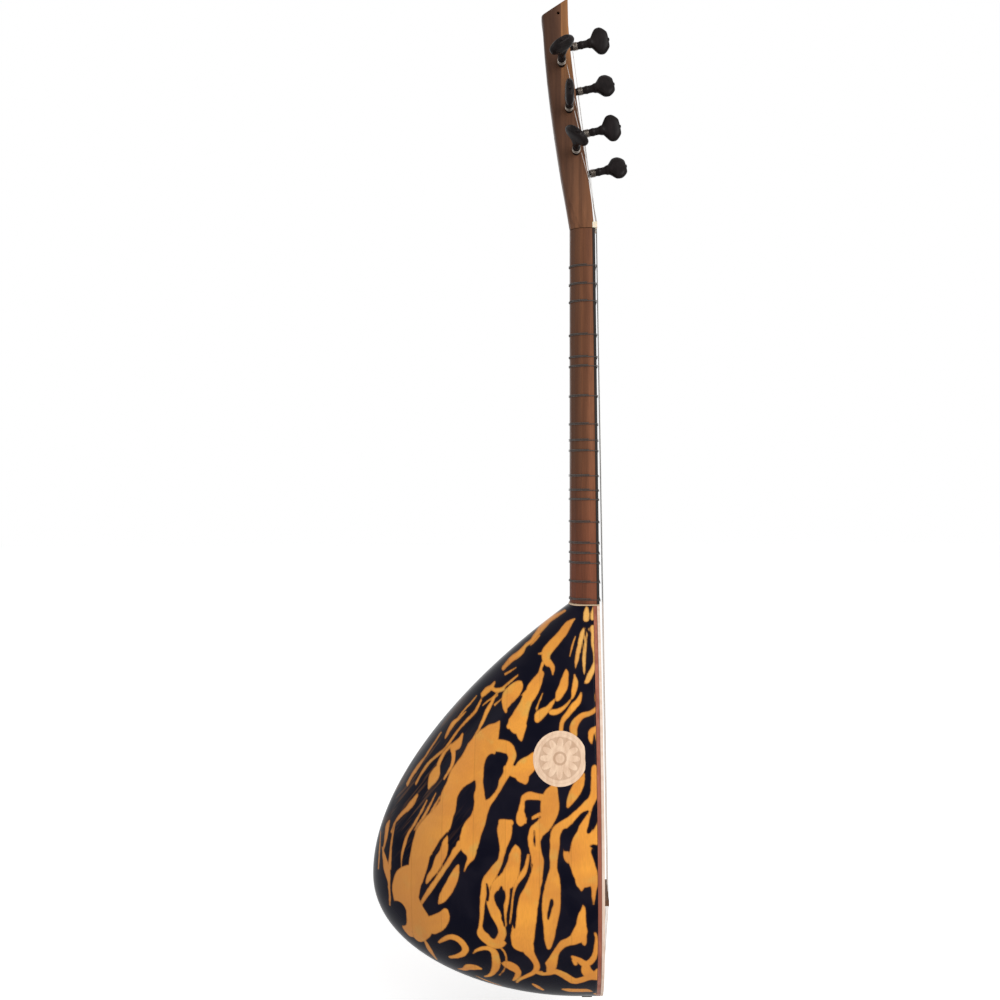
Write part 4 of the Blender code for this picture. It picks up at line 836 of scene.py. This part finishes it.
def figure_at(points):
    along = (BOWL_TOP - points[:, 2]) / MM
    depth = (BOARD_FACE - points[:, 0]) / MM
    across = points[:, 1] / MM
    grown = np.clip((across + 8) / 60, 0, 1)
    grown = grown * grown * (3 - 2 * grown) * BEND_MM
    wander = np.sin(depth / 21 + across / 37) + 0.6 * np.sin(along / 17 + depth / 29 + 2)
    moved_along = along + grown * wander
    moved_depth = depth + grown * (np.sin(along / 25 + 1) + 0.6 * np.sin(depth / 15 - along / 33))
    gold = inside_strokes(GOLD_STROKES, moved_along, moved_depth)
    dark = inside_strokes(DARK_STROKES, moved_along, moved_depth)
    return np.minimum(gold, -dark)


def finish_mesh(name, builder, body, material, smooth=True):
    """An object from a bmesh, smooth shaded, that rides on a body."""
    mesh = bpy.data.meshes.new(name)
    builder.to_mesh(mesh)
    builder.free()
    for polygon in mesh.polygons:
        polygon.use_smooth = smooth
    piece = bpy.data.objects.new(name, mesh)
    SCENE.collection.objects.link(piece)
    mesh.materials.append(material)
    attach(piece, body)
    return piece

# %% [markdown]
# ## The bowl's finish
#
# Under the gloss the stain lies on wood: the bowl was carved from a block glued up of boards about 30 mm
# thick, so straight seams cross the figure and each board takes the stain a little differently. The gold is
# brown where it is thin and at its edges, cream by the neck, and has greenish clouds. Towards the back the
# gold is also painted browner: a painted shade where the skin turns away from the light.
# Faint brown streaks run down the shoulder. The lacquer is glossy but reflects little.

# %% Bowl material
BOWL_FINISH, tree, shader = blank_material("marbled_bowl")
figure = add_node(tree, "Attribute", attribute_name="figure").outputs["Fac"]
place = add_node(tree, "TexCoord").outputs["Object"]
ragged = add_node(tree, "TexNoise", {"Vector": place, "Scale": 420.0, "Detail": 4.0, "Roughness": 0.6})
wavy = add_node(tree, "TexNoise", {"Vector": place, "Scale": 130.0, "Detail": 2.0})
wobble = calculated(tree, "ADD", ramped(tree, ragged.outputs["Fac"], 0.2, 0.8, -0.14, 0.14),
                    ramped(tree, wavy.outputs["Fac"], 0.2, 0.8, -0.25, 0.25))
edge = calculated(tree, "ADD", figure, wobble)
stain = ramped(tree, edge, -0.35, 0.35)

depth, from_nut = place_in_piece(tree)
STREAK_SLOPE = 0.8
STREAK_STRETCH = 0.08
BOARD_DEPTHS = (0.030, 0.059, 0.090, 0.120, 0.150, 0.180, 0.210)
SEAM_WIDTH = 0.0007
seams = None
boards = None
for number, board_depth in enumerate(BOARD_DEPTHS):
    gap = calculated(tree, "ABSOLUTE", calculated(tree, "SUBTRACT", depth, board_depth))
    line = ramped(tree, gap, SEAM_WIDTH, 0.0001)
    side = ramped(tree, depth, board_depth - 0.0001, board_depth + 0.0001, 0.0, 1.0 if number % 2 else -1.0)
    seams = line if seams is None else calculated(tree, "MAXIMUM", seams, line)
    boards = side if boards is None else calculated(tree, "ADD", boards, side)

cloud = add_node(tree, "TexNoise", {"Vector": place, "Scale": 26.0, "Detail": 3.0, "Distortion": 0.7})
tint = add_node(tree, "TexNoise", {"Vector": place, "Scale": 55.0, "Detail": 2.0})
grain = use_group(tree, FIBRES, {"Squeeze": (1, 1, 0.06), "Bands": 120.0, "Fibres": 1100.0})
gold = mixed(tree, ramped(tree, cloud.outputs["Fac"], 0.3, 0.7), (0.86, 0.36, 0.055, 1),
             (0.70, 0.27, 0.05, 1))
gold = mixed(tree, ramped(tree, tint.outputs["Fac"], 0.55, 0.75, 0.0, 0.5), gold, (0.62, 0.42, 0.10, 1))
# Painted shade: the gold is made browner towards the back of the bowl, where the skin turns away from the
# light.
gold = mixed(tree, ramped(tree, depth, 0.10, 0.20, 0.0, 0.75), gold, (0.48, 0.205, 0.062, 1))
by_neck = calculated(tree, "MULTIPLY", ramped(tree, from_nut, -0.455, -0.43),
                     ramped(tree, depth, 0.032, 0.016))
gold = mixed(tree, calculated(tree, "MULTIPLY", by_neck, 0.65), gold, (0.83, 0.51, 0.155, 1))
gold = mixed(tree, calculated(tree, "MULTIPLY", grain.outputs["Fibre"], 0.22), gold, (0.42, 0.15, 0.03, 1))
gold = mixed(tree, ramped(tree, boards, -1.0, 0.0, 0.10, 0.0), gold, (0.40, 0.20, 0.05, 1))
gold = mixed(tree, calculated(tree, "MULTIPLY", seams, 0.2), gold, (0.25, 0.09, 0.02, 1))
fringe = ramped(tree, edge, 1.3, 0.1)
gold = mixed(tree, calculated(tree, "MULTIPLY", fringe, 0.55), gold, (0.20, 0.07, 0.018, 1))
GROUND_DEEP, GROUND_PALE = (0.003, 0.003, 0.009, 1), (0.008, 0.007, 0.014, 1)
ground = mixed(tree, ramped(tree, cloud.outputs["Fac"], 0.35, 0.7), GROUND_DEEP, GROUND_PALE)
slanting = calculated(tree, "ADD", depth, calculated(tree, "MULTIPLY", from_nut, STREAK_SLOPE))
lengthways = calculated(tree, "MULTIPLY", from_nut, STREAK_STRETCH)
streak_place = add_node(tree, "CombineXYZ", {0: slanting, 1: lengthways}).outputs[0]
streak = add_node(tree, "TexNoise", {"Vector": streak_place, "Scale": 330.0, "Detail": 3.0})
on_shoulder = calculated(tree, "MULTIPLY", ramped(tree, depth, 0.11, 0.17),
                         ramped(tree, from_nut, -0.62, -0.56))
faint = calculated(tree, "MULTIPLY", ramped(tree, streak.outputs["Fac"], 0.5, 0.66, 0.0, 0.5), on_shoulder)
ground = mixed(tree, faint, ground, (0.12, 0.055, 0.026, 1))
halo = ramped(tree, edge, -1.6, -0.2)
ground = mixed(tree, calculated(tree, "MULTIPLY", halo, 0.35), ground, (0.045, 0.018, 0.010, 1))
tree.links.new(mixed(tree, stain, ground, gold), shader.inputs["Base Color"])
shader.inputs["Specular IOR Level"].default_value = 0.04
finish_surface(tree, shader, 0.13, 0.05, 60.0, depth=0.00005)

# %% [markdown]
# The inside of the bowl is bare carved wood. It's a copy of the solid without its outer skin, which the
# fine skin replaces, and it keeps the mortise, the rim and the floor of the bowl where the solid has them.

# %% Bowl: skin and inside
points = np.array([v.co for v in skin_mesh.verts])
values = figure_at(points)
bowl_skin = finish_mesh("bowl_skin", skin_mesh, "instrument", BOWL_FINISH)
layer = bowl_skin.data.attributes.new("figure", "FLOAT", "POINT")
layer.data.foreach_set("value", values.astype(np.float32))
print("share of the skin that is gold:", round(float((values > 0).mean()), 3))

CARVED = make_wood("carved_wood", (0.52, 0.30, 0.15), (0.38, 0.20, 0.09), pore=0.4, squeeze=(1, 1, 0.06),
                   bands=120.0, roughness=0.62)


def on_skin(co):
    """True for a point of the solid's outer skin."""
    along, depth = BOWL_TOP - co.z, BOARD_FACE - co.x
    wide = max(float(half_width(along)), 0.0005)
    if depth <= STRAIGHT_WALL + 0.0001:
        return abs(co.y) > wide - 0.0015
    share = (depth - STRAIGHT_WALL) / max(float(depth_at(along)) - STRAIGHT_WALL, 0.0005)
    return math.hypot(share, co.y / wide) > 0.985


inner = bmesh.new()
inner.from_mesh(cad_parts["bowl"].data)
outer_faces = []
for face in inner.faces:
    centre = face.calc_center_median()
    on_end = BOWL_TOP - centre.z < 0.0005
    on_top = BOARD_FACE - centre.x < BOWL_RIM_DEPTH + 0.0005 and abs(face.normal.x) > 0.9
    reach = [from_hole(np.array(v.co)) for v in face.verts]
    in_bore = all(abs(float(r) - SOUND_HOLE / 2) < 0.0006 and abs(float(d)) < 0.012 for d, _, r in reach)
    if in_bore or (not on_end and not on_top and all(on_skin(v.co) for v in face.verts)):
        outer_faces.append(face)
print("faces of the solid's outer skin:", len(outer_faces), "of", len(inner.faces))
bmesh.ops.delete(inner, geom=outer_faces, context="FACES")
bowl_inside = finish_mesh("bowl_inside", inner, "instrument", CARVED, smooth=False)
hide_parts("bowl")
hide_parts("bowl")

# %% [markdown]
# ## Pegs
#
# Friction pegs are turned from black wood and their knobs are then carved flat. The shaft swells a little
# at its collar and flares into the knob, an oval cut off square at its end, where the lathe left a small
# pip. The solids have few sides, so the pegs are made again from the same profile with smooth rings.

# %% Peg wood and helpers
PEG_WOOD = make_wood("peg_wood", (0.013, 0.009, 0.009), (0.006, 0.004, 0.004), pore=0.4, squeeze=(1, 1, 0.3),
                     bands=260.0, fibres=1400.0, roughness=0.34, smudges=0.12, ripple=500.0, shine=0.1)
HEAD_LENGTH = 0.2275
NUT_THICKNESS = 0.006
FACE_START_DEPTH = 0.0039
HEAD_FALL = 0.0254
PEG_LEAN = math.radians(12)
PEG_LENGTH = 0.040
KNOB_WIDTH = 0.027
KNOB_THICKNESS = 0.009
KNOB_LENGTH = 0.018
SHAFT_RADIUS = 0.0034
TAPER = 1 / 40
PEG_SIDES = 40
HALF_HEAD = 0.014
BEAD = 1.3
COLLAR = ((0.48, 0.85), (0.50, 0.88), (0.54, 0.915), (0.58, 0.92), (0.61, 0.87), (0.63, 0.845), (0.68, 0.84),
          (0.75, 0.845), (0.82, 0.865), (0.86, 0.94), (0.89, 1.01), (0.93, 1.07), (0.97, 1.10), (1.0, 1.11))
KNOB = ((0.05, 0.44, 1.03), (0.10, 0.54, 0.98), (0.16, 0.66, 0.95), (0.22, 0.77, 0.96), (0.29, 0.88, 0.98),
        (0.36, 0.95, 1.0), (0.44, 0.985, 1.0), (0.52, 1.0, 1.0), (0.60, 1.0, 0.995), (0.68, 0.965, 0.98),
        (0.76, 0.895, 0.955), (0.84, 0.80, 0.91), (0.90, 0.715, 0.85), (0.95, 0.635, 0.77),
     (0.98, 0.575, 0.69),
        (0.995, 0.52, 0.62), (1.0, 0.46, 0.54))
PIP = ((0.0, 0.0012), (0.0002, 0.0015), (0.0008, 0.0015), (0.001, 0.0012))


def face_depth(height):
    """How far the head's face has fallen back at a height above the nut."""
    handles = ((NUT_THICKNESS, 0), (HEAD_LENGTH * 0.40, HEAD_FALL * 0.37),
               (HEAD_LENGTH * 0.73, HEAD_FALL * 1.04), (HEAD_LENGTH, HEAD_FALL))
    line = bent_line(handles)
    return FACE_START_DEPTH + float(np.interp(height, line[:, 0], line[:, 1]))


def stand(place, axis, towards):
    """A frame with z along the axis and x as near to a direction as it can be."""
    z = Vector(axis).normalized()
    y = z.cross(Vector(towards)).normalized()
    return Matrix.Translation(place) @ Matrix((y.cross(z), y, z)).transposed().to_4x4()


def loft(rings):
    """A closed skin over rings of points."""
    builder = bmesh.new()
    made = [[builder.verts.new(point) for point in ring] for ring in rings]
    for low, high in zip(made, made[1:]):
        for k in range(len(low)):
            builder.faces.new((low[k - 1], low[k], high[k], high[k - 1]))
    builder.faces.new(made[0])
    builder.faces.new(made[-1])
    bmesh.ops.recalc_face_normals(builder, faces=builder.faces)
    return builder


def shaft_radius(distance):
    return SHAFT_RADIUS + distance * TAPER


def peg_profile(tail):
    """Places along the peg with half width, half thickness and squareness of the section."""
    knob = PEG_LENGTH - KNOB_LENGTH
    bead = SHAFT_RADIUS * BEAD
    profile = [(z, shaft_radius(z), shaft_radius(z), 2.0) for z in (tail, 0.0, knob * 0.46)]
    profile += [(knob * along, bead * size, bead * size, 2.0) for along, size in COLLAR]
    for along, width, thickness in KNOB:
        square = 2.0 + 0.7 * min(along / 0.3, 1.0)
        half_size = KNOB_WIDTH / 2 * width, KNOB_THICKNESS / 2 * thickness
        profile.append((knob + KNOB_LENGTH * along, *half_size, square))
    profile += [(PEG_LENGTH + z, radius, radius, 2.0) for z, radius in PIP]
    return profile


def make_peg(name, frame_of_peg, turn):
    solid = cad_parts[name].data
    back = frame_of_peg.inverted()
    tail = min((back @ v.co).z for v in solid.vertices)
    spin = Matrix.Rotation(math.radians(turn), 4, "Z")
    rings = []
    for z, wide, thick, square in peg_profile(tail):
        ring = []
        for k in range(PEG_SIDES):
            angle = 2 * math.pi * k / PEG_SIDES
            c, s = math.cos(angle), math.sin(angle)
            x = math.copysign(abs(c) ** (2 / square), c) * thick
            y = math.copysign(abs(s) ** (2 / square), s) * wide
            ring.append(frame_of_peg @ (spin @ Vector((x, y, z))))
        rings.append(ring)
    peg = finish_mesh(name + "_turned", loft(rings), name, PEG_WOOD)
    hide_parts(name)
    return peg

# %% Pegs and their windings
FACE_PEGS = ((0.184, 0), (0.139, -26), (0.0965, -2), (0.0565, -30))
SIDE_PEGS = ((0.1625, -57, 0.0100), (0.117, 0, 0.0088), (0.0752, 50, 0.0082))
WINDING_START = 0.0032
WINDING_PITCH = 0.00095
WINDING_TURNS = 5
WINDING_RADIUS = 0.00025
WINDING_STEPS = 30
SIDES_OF_WIRE = 8


def tube_along(line, radius, sides):
    """A round tube along a line, with closed ends."""
    line = [Vector(p) for p in line]
    rings = []
    across = None
    for k, point in enumerate(line):
        ahead = (line[min(k + 1, len(line) - 1)] - line[max(k - 1, 0)]).normalized()
        across = ahead.orthogonal() if across is None else across - ahead * across.dot(ahead)
        across.normalize()
        third = ahead.cross(across)
        turns = [2 * math.pi * s / sides for s in range(sides)]
        rings.append([point + (across * math.cos(t) + third * math.sin(t)) * radius for t in turns])
    return loft(rings)


def make_winding(node, body, frame_of_peg):
    """The turns of a string round its peg, from the place where the solid's turns start."""
    back = frame_of_peg.inverted()
    local = [back @ v.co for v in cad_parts[node].data.vertices]
    first = min(p.z for p in local)
    start = sum((p for p in local if p.z < first + 0.0001), Vector())
    begin = math.atan2(start.y, start.x)
    axis = frame_of_peg.col[2].to_3d()
    outwards = frame_of_peg.to_3x3() @ Vector((math.cos(begin), math.sin(begin), 0))
    way = 1.0 if axis.cross(outwards).z > 0 else -1.0
    line = []
    for k in range(WINDING_STEPS * WINDING_TURNS + 1):
        angle = begin + way * 2 * math.pi * k / WINDING_STEPS
        along = WINDING_START + WINDING_PITCH * k / WINDING_STEPS
        radius = shaft_radius(along) + WINDING_RADIUS + 0.0002
        line.append(frame_of_peg @ Vector((radius * math.cos(angle), radius * math.sin(angle), along)))
    winding = finish_mesh(node + "_wire", tube_along(line, WINDING_RADIUS, SIDES_OF_WIRE), body,
                          DARK_PEG_STEEL)
    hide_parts(node)


peg_frames = {}
for number, (height, turn) in enumerate(FACE_PEGS, 1):
    place = Vector((BOARD_FACE - face_depth(height), 0, NUT_FRONT + height))
    axis = (math.cos(PEG_LEAN), 0, math.sin(PEG_LEAN))
    peg_frames[f"face_peg_{number}"] = (stand(place, axis, (0, 1, 0)), turn)
for number, (height, turn, inset) in enumerate(SIDE_PEGS, 1):
    place = Vector((BOARD_FACE - face_depth(height) - inset, -HALF_HEAD, NUT_FRONT + height))
    axis = (0, -math.cos(PEG_LEAN), math.sin(PEG_LEAN))
    peg_frames[f"side_peg_{number}"] = (stand(place, axis, (1, 0, 0)), turn)
WINDING_PEGS = ("side_peg_3", "side_peg_2", "side_peg_1", "face_peg_4", "face_peg_3", "face_peg_2",
                "face_peg_1")
for name, (frame_of_peg, turn) in peg_frames.items():
    make_peg(name, frame_of_peg, turn)
for number, name in enumerate(WINDING_PEGS, 1):
    make_winding(f"winding_{number}", name, peg_frames[name][0])
print("pegs:", len(peg_frames))

# %% [markdown]
# ## Medallion
#
# A pale disc is glued to the side of the bowl and follows its curve. It carries a plain turned rosette: two
# raised rings, and petals between fine grooves. The disc is a polar grid laid on the skin, so that each
# ring of points can carry its own height.

# %% Medallion
MEDALLION_ALONG = 0.131
MEDALLION_BELOW_FACE = 0.040
MEDALLION_RADIUS = 0.025
MEDALLION_THICKNESS = 0.0018
PETALS = 12
round_depth = depth_at(MEDALLION_ALONG) - STRAIGHT_WALL
side_angle = math.pi - math.asin((MEDALLION_BELOW_FACE - STRAIGHT_WALL) / round_depth)
centre = skin_point(np.array(MEDALLION_ALONG), np.array(side_angle))
outward = skin_normal(np.array(MEDALLION_ALONG), np.array(side_angle))
if outward[1] > 0:
    outward = -outward
up = np.array([0, 0, 1.0]) - outward * outward[2]
up /= np.linalg.norm(up)
across = np.cross(up, outward)
ring_radii = np.concatenate([np.linspace(0.0003, MEDALLION_RADIUS - 0.0002, 62), [MEDALLION_RADIUS]])
ring_angles = np.linspace(0, 2 * math.pi, 144, endpoint=False)
want_up = ring_radii[:, None] * np.cos(ring_angles)
want_across = ring_radii[:, None] * np.sin(ring_angles)
along_grid = MEDALLION_ALONG - want_up
angle_grid = np.full_like(along_grid, side_angle)


def offsets(along, angle):
    reach = skin_point(along, angle) - centre
    return reach @ up - want_up, reach @ across - want_across


NUDGE = 0.0002
for _ in range(8):
    gap_up, gap_across = offsets(along_grid, angle_grid)
    further_up, further_across = offsets(along_grid + NUDGE, angle_grid)
    up_a, across_a = further_up - gap_up, further_across - gap_across
    turned_up, turned_across = offsets(along_grid, angle_grid + NUDGE)
    up_b, across_b = turned_up - gap_up, turned_across - gap_across
    whole = up_a * across_b - up_b * across_a
    along_grid = along_grid - NUDGE * (gap_up * across_b - up_b * gap_across) / whole
    angle_grid = angle_grid - NUDGE * (up_a * gap_across - gap_up * across_a) / whole
bed = skin_point(along_grid, angle_grid)
grid_normals = skin_normal(along_grid, angle_grid)
grid_normals *= np.where(grid_normals[..., 1:2] > 0, -1.0, 1.0)


def bump_at(value, middle, width):
    return np.exp(-((value - middle) / width) ** 2)


share = (ring_radii / MEDALLION_RADIUS)[:, None]
petal = np.abs(np.cos(ring_angles * PETALS / 2))[None]
relief = bump_at(share, 0.95, 0.035) + 0.8 * bump_at(share, 0.83, 0.035)
relief = relief + 0.9 * bump_at(share, 0.0, 0.13) - 0.5 * bump_at(share, 0.21, 0.03)
petals = np.clip((share - 0.24) / 0.06, 0, 1) * np.clip((0.42 + 0.33 * petal - share) / 0.05, 0, 1)
relief = relief + petals * (0.25 + 0.75 * petal**0.7)
height = JOINT_GAP + MEDALLION_THICKNESS - 0.0007 + 0.0006 * np.clip(relief, -1, 1)
height[-1] = JOINT_GAP + MEDALLION_THICKNESS - 0.0006
face = bed + grid_normals * height[..., None]
rim_low = bed[-1] + grid_normals[-1] * 0.0001

disc = bmesh.new()
rows_of_disc = [[disc.verts.new(point) for point in ring] for ring in face]
rows_of_disc.append([disc.verts.new(point) for point in rim_low])
for low, high in zip(rows_of_disc, rows_of_disc[1:]):
    for k in range(len(low)):
        disc.faces.new((low[k - 1], low[k], high[k], high[k - 1]))
disc.faces.new(rows_of_disc[0])
disc.faces.new(rows_of_disc[-1])
bmesh.ops.recalc_face_normals(disc, faces=disc.faces)

DISC_WOOD, tree, shader = blank_material("medallion_wood")
carved = add_node(tree, "Attribute", attribute_name="relief").outputs["Fac"]
grain = use_group(tree, FIBRES, {"Squeeze": (1, 1, 0.1), "Bands": 260.0, "Fibres": 1600.0})
tone = mixed(tree, grain.outputs["Band"], (0.68, 0.46, 0.31, 1), (0.84, 0.62, 0.44, 1))
tone = mixed(tree, calculated(tree, "MULTIPLY", grain.outputs["Fibre"], 0.25), tone, (0.58, 0.36, 0.22, 1))
tone = mixed(tree, ramped(tree, carved, 0.25, -0.1, 0.0, 0.55), tone, (0.36, 0.19, 0.10, 1))
tree.links.new(tone, shader.inputs["Base Color"])
finish_surface(tree, shader, 0.5, 0.12, 400.0)
medallion = finish_mesh("medallion_carved", disc, "instrument", DISC_WOOD)
layer = medallion.data.attributes.new("relief", "FLOAT", "POINT")
layer.data.foreach_set("value", np.concatenate([relief.ravel(), relief[-1]]).astype(np.float32))
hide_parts("medallion")
print("points of the medallion:", len(medallion.data.vertices))
